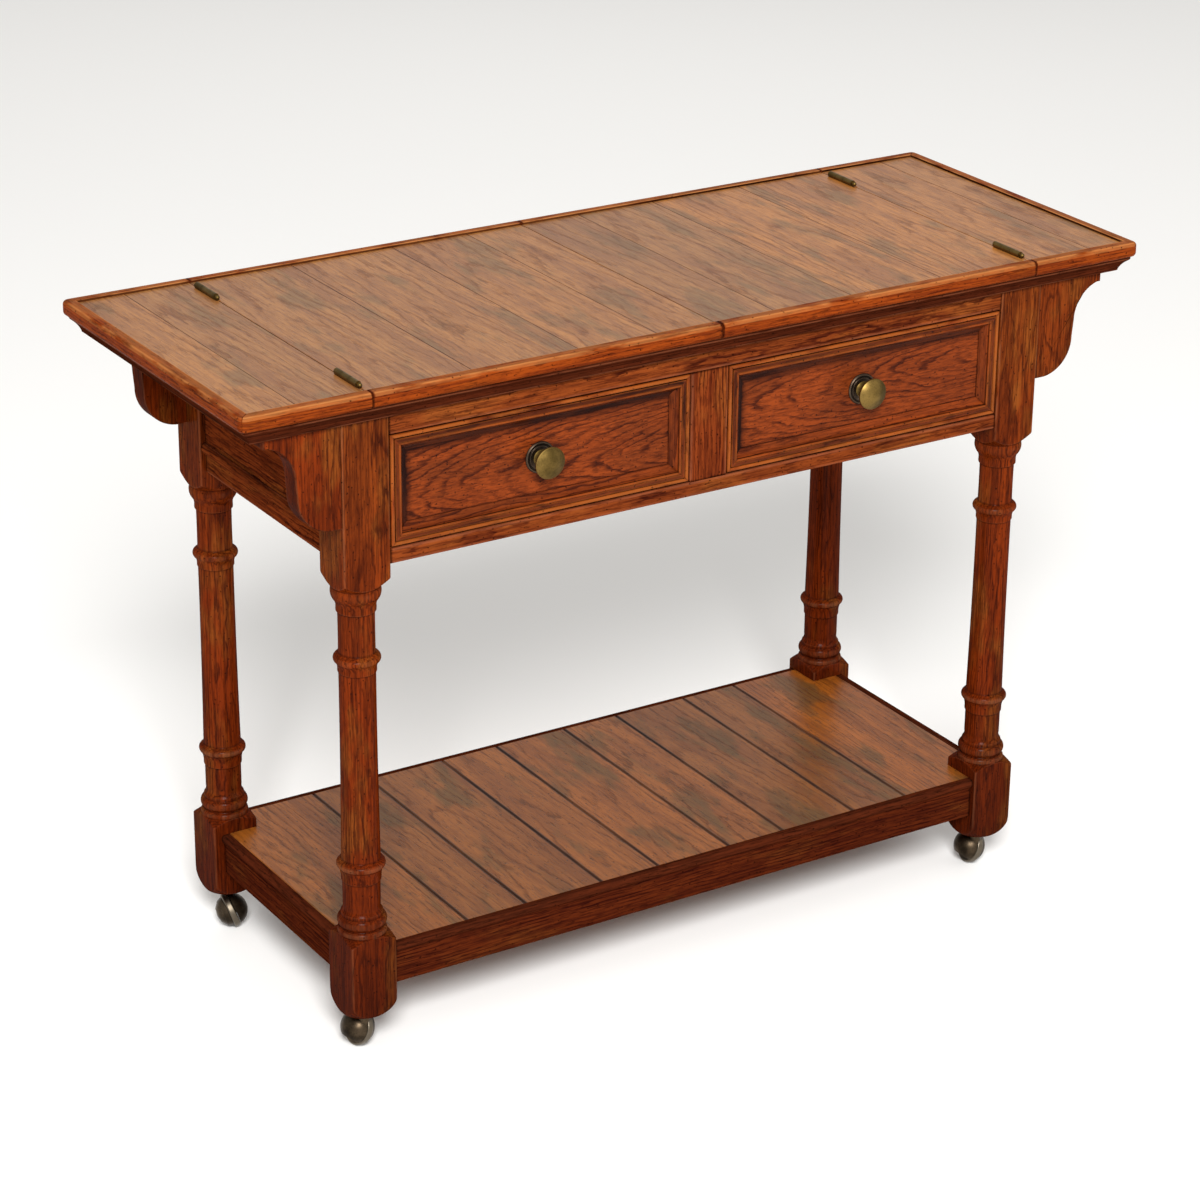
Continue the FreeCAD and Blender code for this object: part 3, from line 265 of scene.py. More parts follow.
# %% [markdown]
# ## Surfaces
#
# A board, a rail and a moulding are all one outline carried along a line, and a mitre only
# moves where each point of the outline starts and stops. A turned part is an outline carried
# round an axis. Both give a grid of points, so one function can close any grid into a shell.
#
# Every point also gets its place in the log that it was cut from: along the grain, across
# the face, and out from the pith. The oak finish reads that place, so the rings run through
# a board and show as arches on its face and as end grain on its end.

# %% Close a grid of points into a shell
X, Y, Z = np.eye(3)
AXES = {"x": X, "y": Y, "z": Z}
LOG_LENGTH, LIE_RANGE, SEED = 3000.0, 40.0, 1874
rng = np.random.default_rng(SEED)


def shell(grid, marks, fibre="xyz", pith=(28, 75), lie=None, rise=0.0, tone=None):
    """One closed shell of quads over a grid, with a flat face over its first and last row.

    Column j joins column j + 1, and the last joins the first. Marks are wear and glaze at
    each point. Fibre names the axes along the grain, across the face and out from the pith.
    Pith is the range in millimetres in which its distance from the pith is drawn, lie is its
    offset beside the pith, and rise is how steeply it leans away from the pith.

    The volume is a sixth of the sum of a . (b x c) over the triangles a, b, c of all faces.
    It is negative where they point inwards, and then every face is turned round.
    """
    rows, columns = grid.shape[:2]
    index = np.arange(rows * columns).reshape(rows, columns)
    beside = np.roll(index, -1, axis=1)
    quads = np.stack([index[:-1], beside[:-1], beside[1:], index[1:]], axis=-1).reshape(-1, 4)
    caps = [index[0][::-1], index[-1]]
    points = grid.reshape(-1, 3)
    a, b, c, d = (points[quads[:, k]] for k in range(4))
    volume = (a * (np.cross(b, c) + np.cross(c, d))).sum() / 6
    for rim in (points[cap] for cap in caps):
        volume += (rim[0] * np.cross(rim[1:-1], rim[2:])).sum() / 6
    if volume < 0:
        quads, caps = quads[:, ::-1], [cap[::-1] for cap in caps]
    middle = (points.min(0) + points.max(0)) / 2
    place = np.stack([(points - middle) @ AXES[axis] for axis in fibre], axis=1)
    drawn = rng.uniform(size=5)
    side = 1 if drawn[0] < 0.5 else -1
    lie = (drawn[1] - 0.5) * LIE_RANGE if lie is None else lie
    out = side * (pith[0] + drawn[3] * (pith[1] - pith[0]))
    shift = np.array([drawn[2] * LOG_LENGTH, lie, out])
    place = place + shift
    place[:, 2] += side * rise * (place[:, 0] - shift[0])
    tones = np.broadcast_to(np.ravel(drawn[4] * 2 - 1 if tone is None else tone), len(points))
    finish = np.concatenate([marks.reshape(-1, 2), tones[:, None]], axis=1)
    return {"points": points, "quads": quads, "caps": caps, "grain": place, "finish": finish,
            "volume": abs(volume)}


# %% Join shells into one piece of the trolley
def piece(name, shells, body, nodes, slot):
    """One object that stands for CAD nodes. Grain and finish are stored on face corners."""
    faces, grain, finish, points, flat, first = [], [], [], [], [], 0
    for part in shells:
        corners = [part["quads"].ravel()] + list(part["caps"])
        flat_marks = part["finish"] * (0, 0, 1)
        grain += [part["grain"][corner] for corner in corners]
        finish += [part["finish"][corners[0]]] + [flat_marks[corner] for corner in part["caps"]]
        faces += (part["quads"] + first).tolist() + [(cap + first).tolist() for cap in part["caps"]]
        flat += [True] * len(part["quads"]) + [False] * len(part["caps"])
        points.append(part["points"])
        first += len(part["points"])
    mesh = bpy.data.meshes.new(name)
    mesh.from_pydata((np.concatenate(points) * MM).tolist(), [], faces)
    mesh.polygons.foreach_set("use_smooth", flat)
    for label, rows in (("grain", np.concatenate(grain) * MM), ("finish", np.concatenate(finish))):
        attribute = mesh.attributes.new(label, "FLOAT_VECTOR", "CORNER")
        attribute.data.foreach_set("vector", rows.astype(np.float32).ravel())
    mesh.update()
    made = bpy.data.objects.new(name, mesh)
    bpy.context.scene.collection.objects.link(made)
    mesh.materials.append(FINISHES[slot])
    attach(made, body)
    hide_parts(*nodes)
    litres = sum(part["volume"] for part in shells) * MM ** 3 * 1000
    print(name, len(shells), "shells", len(faces), "faces", round(litres, 3), "litres")


def extent(node):
    """A node's lowest and highest corner in millimetres."""
    return tuple(np.array(corner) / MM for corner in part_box(node))


# %% Carry an outline along a line
def inset(rows, depth):
    """An outline drawn in by a depth: each point moves against its outward normal."""
    uv = rows[:, :2]
    along = np.roll(uv, -1, axis=0) - np.roll(uv, 1, axis=0)
    along = along / np.maximum(np.hypot(*along.T), TINY)[:, None]
    return uv - depth * turning_way(uv) * np.stack([along[:, 1], -along[:, 0]], axis=1)


END_ROUND, END_EASE = np.radians([0, 35, 65, 90]), 0.5


def bar(rows, origin, along, across, up, start, stop, slants=(0, 0), ease=END_EASE,
        stations=(3.0,), end_marks=(0, 0.8), **wood):
    """A length of an outline: origin + across u_j + up v_j + along s_kj.

    Row k lies at s_kj = start + slant u_j + d_k near the start, and the same way back from
    the stop, so a slant of 1 is a mitre. The ends are eased by a quarter round of insets
    with marks of their own: glaze where the bar meets its neighbour, wear where it is free.
    """
    near = [(ease * (1 - math.cos(q)), ease * (1 - math.sin(q)), *end_marks) for q in END_ROUND]
    near += [(ease + distance, 0, 0, 0) for distance in stations]
    grid, marks = [], []
    for end, slant, way, order in ((start, slants[0], 1, near), (stop, slants[1], -1, near[::-1])):
        for distance, depth, worn, dark in order:
            uv = inset(rows, depth) if depth else rows[:, :2]
            s = end + slant * rows[:, 0] + way * distance
            section = origin + np.outer(uv[:, 0], across) + np.outer(uv[:, 1], up)
            grid.append(section + np.outer(s, along))
            marks.append(np.maximum(rows[:, 2:4] * (1 - dark), (worn, dark)))
    return shell(np.array(grid), np.array(marks), **wood)


BOARD_EASE = 1.0


def plank(low, high, fibre, **wood):
    """A board between two corners, carried along its grain with all its corners eased."""
    along, across, up = (AXES[a] for a in (fibre[0], *sorted(fibre[1:])))
    s, u, v = ((high - low) @ axis for axis in (along, across, up))
    rows = eased(np.array([(0, 0), (u, 0), (u, v), (0, v)]), BOARD_EASE)
    return bar(rows, low, along, across, up, 0, s, fibre=fibre, **wood)


# %% Carry an outline round an axis
def turned(rows, count, origin, axis, side, **wood):
    """A turned part: origin + axis h_i + r_i (side cos a_k + other sin a_k)."""
    angle = np.linspace(0, 2 * math.pi, count, endpoint=False)
    spokes = np.outer(np.cos(angle), side) + np.outer(np.sin(angle), np.cross(axis, side))
    grid = origin + rows[:, None, 1:2] * np.asarray(axis) + rows[:, None, 0:1] * spokes[None]
    marks = np.repeat(rows[:, None, 2:4], count, axis=1)
    return shell(grid, marks, **wood)


def refined(outline, longest):
    """The same outline with points added so that no side is longer than asked."""
    side = np.hypot(*np.diff(outline[:, :2], axis=0).T)
    parts = np.ceil(side / np.broadcast_to(longest, side.shape)).astype(int)
    which = np.repeat(np.arange(len(side)), parts)
    share = (np.arange(parts.sum()) - np.repeat(np.cumsum(parts) - parts, parts)) / parts[which]
    rows = outline[which] + share[:, None] * (outline[which + 1] - outline[which])
    return np.concatenate([rows, outline[-1:]])


print("a 10 mm side cut to 3 mm has", len(refined(np.array([(0, 0), (10, 0)], float), 3)), "points")

# %% [markdown]
# ## The oak finish
#
# Red oak is ring porous: each year starts with a row of open pores, which show as short
# dark dashes along the grain, and ends with smooth pale wood. Where a board's face is cut
# nearly along the rings they spread into arches. The maker stained it warm orange brown,
# worked a dark glaze into pores and quirks, spattered it with flecks, rubbed the corners
# back to pale wood and sealed it with a satin lacquer.
#
# The finish is laid on in that order: a list of stains, each with the amount that a pattern gives it.
# Rings are distances from the pith, pores and fibres are noise drawn out along the grain, and wear and
# glaze come from the shape itself. Some wear marks also carry painted highlights, and a low tone lays
# painted shade in the pore colour. A pattern sets in smoothly between two values of what it is read from,
# so it is a row of numbers for one kind of node.

# %% Add a node
def add(tree, kind, feeds=None, **settings):
    """Adds one shader node of a kind, with its settings. A feed is a value for a socket, or a
    node or socket to link to it."""
    node = tree.nodes.new("ShaderNode" + kind)
    for setting, value in settings.items():
        setattr(node, setting, value)
    for socket, value in (feeds or {}).items():
        if isinstance(value, bpy.types.Node):
            value = value.outputs[0]
        if isinstance(value, bpy.types.NodeSocket):
            tree.links.new(value, node.inputs[socket])
        else:
            node.inputs[socket].default_value = value
    return node


SMOOTH = {"interpolation_type": "SMOOTHSTEP"}


def streaks(tree, place, long_mm, wide_mm, detail=2.0, rough=0.55):
    """Noise drawn out along the grain, in streaks about so long and so wide."""
    per_metre = [0.5 / (size * MM) for size in (long_mm, wide_mm, wide_mm)]
    drawn = add(tree, "VectorMath", {0: place, 1: per_metre}, operation="MULTIPLY")
    feeds = {"Vector": drawn, "Scale": 1.0, "Detail": detail, "Roughness": rough}
    return add(tree, "TexNoise", feeds)


def stained(tree, base, layers):
    """A base colour under stains. Each has its hex code, its amount at full strength, and
    the patterns that the amount is multiplied by."""
    colour = linear(base)
    for code, amount, *patterns in layers:
        for pattern in patterns:
            amount = add(tree, "Math", {0: pattern, 1: amount}, operation="MULTIPLY")
        feeds = {0: amount, 6: colour, 7: linear(code)}
        colour = add(tree, "Mix", feeds, data_type="RGBA").outputs[2]
    return colour


def empty_material(name):
    """A material whose node tree is empty, and that tree."""
    material = bpy.data.materials.new(name)
    material.use_nodes = True
    material.node_tree.nodes.clear()
    return material, material.node_tree


print("node helpers ready")

# %% Where a point lies in its log
def carved_wood(tree):
    """Grain place, wear, glaze and tone, read from the attributes of the new pieces."""
    grain = add(tree, "Attribute", attribute_name="grain").outputs["Vector"]
    finish = add(tree, "Attribute", attribute_name="finish").outputs["Vector"]
    parts = add(tree, "SeparateXYZ", {0: finish})
    return grain, parts.outputs[0], parts.outputs[1], parts.outputs[2]


HALF_TOP = np.array([560.0, 212.0])
FIRST_DRAW, BOARD_LIE, BOARD_DEPTH = 0.37, 70.0, 30.0
GLAZE_INSIDE, GLAZE_OUTSIDE = 0.4, 1.3


def planked_wood(seams, groove, ends=(), across="X", pith=40.0, rise=0.04):
    """The same four things for a CAD node of boards, worked out from its place in metres.

    A board's number is the count of seams that lie before it, and a random draw on that
    number gives each board its own stretch of log. Glaze lies along each seam and each end,
    and fades over a groove's width.
    """
    edges = [-HALF_TOP[0], *seams, HALF_TOP[0]]
    centres = [float(a + b) / 2 for a, b in zip(edges, edges[1:])]

    def place(tree):
        spot = add(tree, "TexCoord").outputs["Object"]
        spot = add(tree, "SeparateXYZ", {0: spot})
        side, length = spot.outputs[across], spot.outputs["Y" if across == "X" else "X"]
        number, centre, seam = 0.0, centres[0] * MM, 1.0
        for at, before, after in zip(seams, centres, centres[1:]):
            past = add(tree, "Math", {0: side, 1: at * MM}, operation="GREATER_THAN")
            number = add(tree, "Math", {0: past, 1: number}, operation="ADD")
            step = (after - before) * MM
            centre = add(tree, "Math", {0: past, 1: step, 2: centre}, operation="MULTIPLY_ADD")
            off = add(tree, "Math", {0: side, 1: at * MM}, operation="SUBTRACT")
            off = add(tree, "Math", {0: off}, operation="ABSOLUTE")
            seam = add(tree, "Math", {0: off, 1: seam}, operation="MINIMUM")
        for axis, at in ends:
            off = add(tree, "Math", {0: spot.outputs[axis]}, operation="ABSOLUTE")
            off = add(tree, "Math", {0: at * MM, 1: off}, operation="SUBTRACT")
            seam = add(tree, "Math", {0: off, 1: seam}, operation="MINIMUM")
        number = add(tree, "Math", {0: number, 1: FIRST_DRAW}, operation="ADD")
        draws = add(tree, "TexWhiteNoise", {"W": number}, noise_dimensions="1D")
        draws = add(tree, "SeparateXYZ", {0: draws.outputs["Color"]}).outputs
        along = add(tree, "Math", {0: draws[0], 1: LOG_LENGTH * MM, 2: length}, operation="MULTIPLY_ADD")
        beside = add(tree, "Math", {0: side, 1: centre}, operation="SUBTRACT")
        lean = add(tree, "Math", {0: draws[1], 1: 0.5}, operation="SUBTRACT")
        beside = add(tree, "Math", {0: lean, 1: BOARD_LIE * MM, 2: beside}, operation="MULTIPLY_ADD")
        tilt = add(tree, "Math", {0: length, 1: rise, 2: pith * MM}, operation="MULTIPLY_ADD")
        deep = add(tree, "Math", {0: draws[2], 1: BOARD_DEPTH * MM, 2: tilt}, operation="MULTIPLY_ADD")
        grain = add(tree, "CombineXYZ", {0: along, 1: beside, 2: deep})
        tone = add(tree, "Math", {0: draws[1], 1: 2.0, 2: -1.0}, operation="MULTIPLY_ADD")
        near, far = GLAZE_INSIDE * groove * MM, GLAZE_OUTSIDE * groove * MM
        dark = add(tree, "MapRange", {0: seam, 1: near, 2: far, 3: 1.0, 4: 0.0}, **SMOOTH)
        return grain.outputs[0], 0.0, dark.outputs[0], tone.outputs[0]

    return place


print("log places ready")

# %% Stain, glaze and lacquer
RING_DRIFT, RAGGED_YEARS = (0, 0.016, 0.016), 0.6
FLECK_DRIFT = (0.003, 0.003, 0.003)
SPRING_PORES, SUNK_PORES, SUNK_RINGS, SUNK_FLECKS, RIPPLE = 0.10, -0.5, -0.35, -1.0, 0.8
# Repeats per metre: flecks every 6 mm, bent by noise of 2.4 mm, and ripples of 26 mm.
FLECK_SCALE, BENT_SCALE, RIPPLE_SCALE = 160.0, 420.0, 38.0


def oak(name, pale, ring, pore_and_shade, patch, worn, glaze, place=carved_wood, ring_mm=4.6, figure=0.75,
        pore_mm=(10.0, 0.95), open_pores=0.5, fibre=0.55, blotch=0.35, flecks=0.8, wear_amount=0.6,
        gloss=0.36, shine=0.035, lacquer=0.0):
    """Distressed oak. Colours are hex codes from the palest wood to the darkest glaze, and
    the amounts say how strongly each stain covers the one before."""
    material, tree = empty_material(name)
    grain, wear, glazed, tone = place(tree)
    spot = add(tree, "TexCoord").outputs["Object"]

    # The rings wander by a few millimetres, more along the board than across it.
    drift = streaks(tree, grain, 60.0, 16.0).outputs["Color"]
    drift = add(tree, "VectorMath", {0: drift, 1: (0.5, 0.5, 0.5)}, operation="SUBTRACT")
    drift = add(tree, "VectorMath", {0: drift, 1: RING_DRIFT, 2: grain}, operation="MULTIPLY_ADD")
    flat = add(tree, "VectorMath", {0: drift, 1: (0, 1, 1)}, operation="MULTIPLY")
    radius = add(tree, "VectorMath", {0: flat}, operation="LENGTH").outputs["Value"]
    ragged = streaks(tree, grain, 10.0, 2.0)
    years = add(tree, "Math", {0: radius, 1: 1 / (ring_mm * MM)}, operation="MULTIPLY")
    years = add(tree, "Math", {0: ragged, 1: RAGGED_YEARS, 2: years}, operation="MULTIPLY_ADD")
    season = add(tree, "Math", {0: years}, operation="FRACT")

    # Flecks are the spatter of dark glaze: small uneven dots, a little under a centimetre
    # apart, in two of three cells of a pattern whose edges are bent by noise.
    bent = add(tree, "TexNoise", {"Vector": spot, "Scale": BENT_SCALE, "Detail": 1.0})
    bent = bent.outputs["Color"]
    bent = add(tree, "VectorMath", {0: bent, 1: FLECK_DRIFT, 2: spot}, operation="MULTIPLY_ADD")
    cells = add(tree, "TexVoronoi", {"Vector": bent, "Scale": FLECK_SCALE})
    chosen = add(tree, "SeparateXYZ", {0: cells.outputs["Color"]})

    # A row is a value, the low and high that its pattern sets in between, and the amounts
    # below and above them where these aren't 0 and 1. Fibres are drawn wider than real ones.
    rows = {
        "spring": (season, 0.12, 0.46, 1.0, 0.0),
        "onset": (season, 0.0, 0.12),
        "strength": (streaks(tree, grain, 70.0, 9.0), 0.34, 0.60, 0.25, 1.0),
        "fibres": (streaks(tree, grain, 40.0, 1.15, 3.0, 0.6), 0.44, 0.60),
        "mottle": (streaks(tree, grain, 9.0, 3.0, 3.0, 0.65), 0.46, 0.62),
        "bands": (streaks(tree, grain, 120.0, 12.0, 3.0), 0.38, 0.66),
        "clouds": (streaks(tree, grain, 60.0, 22.0, 3.0, 0.6), 0.50, 0.66),
        "rubbed": (streaks(tree, grain, 22.0, 5.0, 3.0), 0.30, 0.56),
        "toned": (tone, -1.0, 1.0),
        # A tone below -0.5 is painted shade, laid on in the pore colour.
        "painted_shade": (tone, -3.0, -0.5, 0.75, 0.0),
        "edges": (wear, 0.12, 0.95),
        "quirks": (glazed, 0.10, 0.80),
        "dots": (cells.outputs["Distance"], 0.08, 0.20, 1.0, 0.0),
        "chosen": (chosen.outputs[0], 0.30, 0.40),
    }
    sets_in = {label: add(tree, "MapRange", dict(enumerate(row)), **SMOOTH)
               for label, row in rows.items()}
    patchy = add(tree, "MapRange", {0: sets_in["bands"], 3: 0.75}, **SMOOTH)
    flecked = add(tree, "Math", {0: sets_in["dots"], 1: sets_in["chosen"]}, operation="MULTIPLY")
    rings = add(tree, "Math", {0: sets_in["spring"], 1: sets_in["onset"]}, operation="MULTIPLY")
    rings = add(tree, "Math", {0: rings, 1: sets_in["strength"]}, operation="MULTIPLY")

    # Pores are dashes of a few tenths of a millimetre, drawn wider here so that they show.
    # Spring wood is crowded with them, so that a ring is a band of dashes with ragged edges.
    dashes = streaks(tree, grain, *pore_mm, 2.0, 0.7)
    crowd = add(tree, "Math", {0: rings, 1: SPRING_PORES, 2: dashes}, operation="MULTIPLY_ADD")
    pores = add(tree, "MapRange", {0: crowd, 1: 0.56, 2: 0.64}, **SMOOTH)
    colour = stained(tree, pale, (
        (patch, 0.6 * blotch, sets_in["toned"]),
        (ring, 0.7 * blotch, sets_in["bands"]),
        (patch, blotch, sets_in["clouds"]),
        (ring, 0.5 * fibre, sets_in["mottle"]),
        (ring, fibre, sets_in["fibres"]),
        (ring, figure, rings),
        (pore_and_shade, open_pores, pores),
        # The worn colour is also a painted highlight on the rims, drawer beads, ring crests and tongues.
        (worn, wear_amount, sets_in["edges"], sets_in["rubbed"]),
        # Painted shade in the pore colour where the tone is low.
        (pore_and_shade, 1.0, sets_in["painted_shade"]),
        (glaze, 0.95, sets_in["quirks"], patchy),
        (glaze, flecks, flecked),
    ))

    # Pores, rings and flecks are sunk by a few tenths of a millimetre at most, and the
    # lacquer over them ripples. Spring wood and stained patches are a little duller.
    relief = add(tree, "TexNoise", {"Vector": spot, "Scale": RIPPLE_SCALE, "Detail": 2.0})
    relief = add(tree, "Math", {0: relief, 1: RIPPLE}, operation="MULTIPLY")
    for pattern, depth in ((pores, SUNK_PORES), (rings, SUNK_RINGS), (flecked, SUNK_FLECKS)):
        relief = add(tree, "Math", {0: pattern, 1: depth, 2: relief}, operation="MULTIPLY_ADD")
    bump = add(tree, "Bump", {"Height": relief, "Strength": 0.5, "Distance": 0.0004})
    dull = gloss
    for pattern, amount in ((rings, 0.10), (sets_in["clouds"], 0.06)):
        dull = add(tree, "Math", {0: pattern, 1: amount, 2: dull}, operation="MULTIPLY_ADD")
    surface = add(tree, "BsdfPrincipled", {
        "Base Color": colour, "Roughness": dull, "Normal": bump, "Specular IOR Level": shine,
        "Coat Weight": lacquer, "Coat Roughness": 0.22,
    })
    add(tree, "OutputMaterial", {"Surface": surface})
    return material


print("oak finish ready")

# %% [markdown]
# ## The metal finishes
#
# The knobs are cast brass, turned and left to age, so they are olive brown with paler
# patches where fingers polish them. Backplates and casters are bronzed steel: a thin dark
# brown plating that is rubbed bright on its rings. A metal's colour is its reflection, and
# age shows as a rougher and darker patch, so both come from one noise.

# %% Aged brass and bronze plating
TREAD_STEEL, TREAD_TONE = "#6B6255", 2.0
GRIT_SCALE = 700.0


def aged_metal(name, bright, aged, dirt, rough, patch_mm):
    """Metal with patches of age. Colours are hex codes of the clean, aged and dirty metal."""
    material, tree = empty_material(name)
    spot = add(tree, "TexCoord").outputs["Object"]
    cloud = {"Vector": spot, "Scale": 0.5 / (patch_mm * MM), "Detail": 4.0, "Roughness": 0.6}
    cloud = add(tree, "TexNoise", cloud)
    grit = add(tree, "TexNoise", {"Vector": spot, "Scale": GRIT_SCALE, "Detail": 2.0})
    wear, glaze, part = carved_wood(tree)[1:]
    rows = ((cloud, 0.34, 0.66), (grit, 0.5, 0.7), (part, 0.7 * TREAD_TONE, 0.8 * TREAD_TONE))
    age, gritty, tread = (add(tree, "MapRange", dict(enumerate(row)), **SMOOTH)
                          for row in rows)
    colour = stained(tree, bright, (
        (aged, 1.0, age), (dirt, 0.35, gritty), (bright, 0.7, wear), (dirt, 0.9, glaze),
        (TREAD_STEEL, 0.8, tread),
    ))
    dull = add(tree, "Math", {0: age, 1: 0.16, 2: rough}, operation="MULTIPLY_ADD")
    bump = add(tree, "Bump", {"Height": cloud, "Strength": 0.2, "Distance": 0.0003})
    surface = add(tree, "BsdfPrincipled", {
        "Base Color": colour, "Metallic": 1.0, "Roughness": dull, "Normal": bump,
    })
    add(tree, "OutputMaterial", {"Surface": surface})
    return material


print("metal finishes ready")

# %% All finishes by their slot
TOP_SEAMS = (-492.0, -415.0, -292.8, -166.9, -71.2, 0.0, 75.4, 176.0, 295.7, 415.0, 500.9)
SHELF_SEAMS = (-293.0, -218.9, -121.2, -47.2, 47.2, 121.2, 218.9, 293.0)
TOP_ENDS = (("X", 547.0), ("Y", 199.0))
top_boards = planked_wood(TOP_SEAMS, groove=0.6, ends=TOP_ENDS)
shelf_planks = planked_wood(SHELF_SEAMS, groove=2.9, pith=46.0)
deck_board = planked_wood((), groove=1.0, across="Y", pith=60.0, rise=0.02)
box_boards = planked_wood((), groove=1.0, across="X", pith=80.0, rise=0.02)

FINISHES = {
    "top_oak": oak(
        "lacquered_oak_boards", "#AD6E2E", "#693A1C", "#421F0D", "#6F5638", "#CF954F", "#31140B",
        place=top_boards, figure=0.44, ring_mm=6.5, open_pores=0.32, fibre=0.38, blotch=0.7,
        flecks=0.2, shine=0.25, lacquer=0.1),
    "rim_oak": oak(
        "oak_rim", "#83370E", "#481609", "#1D0502", "#63330E", "#B77742", "#160402",
        figure=0.45, wear_amount=0.85, shine=0.008),
    "frame_oak": oak(
        "oak_frame", "#713013", "#330E08", "#140304", "#83481D", "#854B32", "#0D0302",
        blotch=0.45, wear_amount=0.4, shine=0.0),
    "leg_oak": oak(
        "turned_oak", "#6C2607", "#310D03", "#130302", "#7A4317", "#9A6343", "#100301",
        ring_mm=3.0, pore_mm=(12.0, 0.95), open_pores=0.45, blotch=0.6, figure=0.6, gloss=0.3,
        shine=0.0, lacquer=0.05),
    "drawer_oak": oak(
        "figured_oak", "#7C3410", "#320E04", "#160403", "#55260E", "#9A5420", "#0F0201",
        ring_mm=5.2, open_pores=0.42, fibre=0.4, figure=0.85, blotch=0.4, wear_amount=0.55,
        shine=0.05),
    "dark_oak": oak(
        "glazed_oak_moulding", "#4A1E0E", "#2A1008", "#140603", "#3A190C", "#7E4930", "#0E0503",
        wear_amount=0.4, figure=0.5, gloss=0.5, shine=0.0),
    "deck_oak": oak(
        "oak_deck", "#8A4C24", "#54290F", "#2C1408", "#6A3A1C", "#A8683A", "#1E0C06",
        place=deck_board),
    "shelf_oak": oak(
        "oak_shelf_boards", "#9A5415", "#562909", "#2B1303", "#4D3D21", "#9E6229", "#190702",
        place=shelf_planks, figure=0.5, ring_mm=6.0, open_pores=0.42, fibre=0.3, blotch=0.7,
        shine=0.2, lacquer=0.1),
    "inner_wood": oak(
        "plain_oak_inside", "#A87C50", "#805634", "#54381F", "#906440", "#B88C5C", "#4A2E18",
        place=box_boards, figure=0.5, flecks=0.0, gloss=0.6, shine=0.2),
}
METALS = (
    ("antique_brass", "aged_cast_brass", "#7A6234", "#50401F", "#2C220E", 0.42, 16.0),
    ("screw_brass", "hinge_brass", "#A88A48", "#6A5424", "#33280F", 0.34, 4.0),
    ("plate_bronze", "bronzed_backplate", "#54463A", "#241C15", "#120D09", 0.34, 9.0),
    ("caster_bronze", "bronzed_hood", "#4C4032", "#241D15", "#100D09", 0.36, 12.0),
    ("caster_wheel", "bronzed_wheel", "#54483A", "#29221A", "#120F0B", 0.33, 12.0),
    ("caster_steel", "dark_steel", "#6C655C", "#3A342C", "#1C1814", 0.42, 9.0),
)
FINISHES.update({slot: aged_metal(*looks) for slot, *looks in METALS})
print("finishes", sorted(FINISHES))

# %% Give the CAD nodes their finish, and the floor its paint
for node in frame["nodes"].values():
    node.data.materials[0] = FINISHES[node.data.materials[0].name]
paint, paint_tree = empty_material("matt_white_floor_paint")
painted = add(paint_tree, "BsdfPrincipled", {"Base Color": linear("#F6F5F3"), "Roughness": 0.7})
add(paint_tree, "OutputMaterial", {"Surface": painted})
floor_mesh.materials.append(paint)
print("finished", len(frame["nodes"]), "nodes")

# %% [markdown]
# ## Turned legs
#
# Each leg starts as a square post. Where it stays square, between the turnings and at the
# foot, the lathe leaves a tongue on every face, because the round cut runs out on the flat.
# That is what a minimum does: at each height and angle the wood reaches as far as the
# smaller of the lathe's radius and the square's. A smooth minimum sands the edge between.

# %% The leg's outline on the lathe
HALF_POST, POST_ARRIS = 27.0, 2.0
POST_CORNER = HALF_POST * math.sqrt(2)
LEG_LOW, POMMEL_TOP, FOOT_SHOULDER, BLOCK_SHOULDER, LEG_TOP = 44.88, 65.88, 136.88, 553.0, 729.0
BORE_RADIUS, BORE_DEPTH, POMMEL_RADIUS, POMMEL_BULGE = 6.0, 33.0, 17.0, (0.72, 0.40)
# Where the post stays square the outline keeps clear of it, and slopes out and in over these.
CLEAR, OVER_POMMEL, UNDER_FOOT, OVER_BLOCK = 46.0, 4.0, 3.0, 3.5
FAR_ROWS, CREST_ROWS, OTHER_ROWS = 12.0, 0.9, 2.4
TURNING_SHARES = (
    ((0.985, 0.0160),), ((0.985, 0.0240), (0.880, 0.0310)), ((0.860, 0.0330),), ((0.880, 0.0350),),
    ((0.990, 0.0500), (0.880, 0.0640)), ((0.845, 0.0655),), ((0.845, 0.0730),),
    ((0.770, 0.0810), (0.750, 0.0960)), ((0.750, 0.1620),), ((0.795, 0.1635),),
    ((0.795, 0.1690),), ((0.815, 0.1850), (0.885, 0.1990)),
    ((0.975, 0.2090), (0.900, 0.2180)), ((0.780, 0.2250),), ((0.730, 0.5200), (0.724, 0.7420)),
    ((0.765, 0.7435),), ((0.765, 0.7490),), ((0.780, 0.7600), (0.840, 0.7690)),
    ((0.930, 0.7790), (0.865, 0.7880)), ((0.723, 0.7960),), ((0.716, 0.8500), (0.722, 0.9060)),
    ((0.785, 0.9075),), ((0.785, 0.9160),), ((0.800, 0.9290), (0.860, 0.9380)), ((0.880, 0.9390),),
    ((0.985, 0.9570), (0.945, 0.9740)),
)
turning = sized(TURNING_SHARES, HALF_POST, BLOCK_SHOULDER - FOOT_SHOULDER)
bulge = POMMEL_RADIUS + POMMEL_BULGE[0] * (POST_CORNER - POMMEL_RADIUS)
bulge = (bulge, LEG_LOW + POMMEL_BULGE[1] * (POMMEL_TOP - LEG_LOW))
leg_steps = [((BORE_RADIUS, LEG_LOW),), ((POMMEL_RADIUS, LEG_LOW),)]
leg_steps += [(bulge, (POST_CORNER, POMMEL_TOP)), ((CLEAR, POMMEL_TOP + OVER_POMMEL),)]
leg_steps += [((CLEAR, FOOT_SHOULDER - UNDER_FOOT),), ((POST_CORNER, FOOT_SHOULDER),)]
leg_steps += [tuple((r, FOOT_SHOULDER + z) for r, z in step) for step in turning]
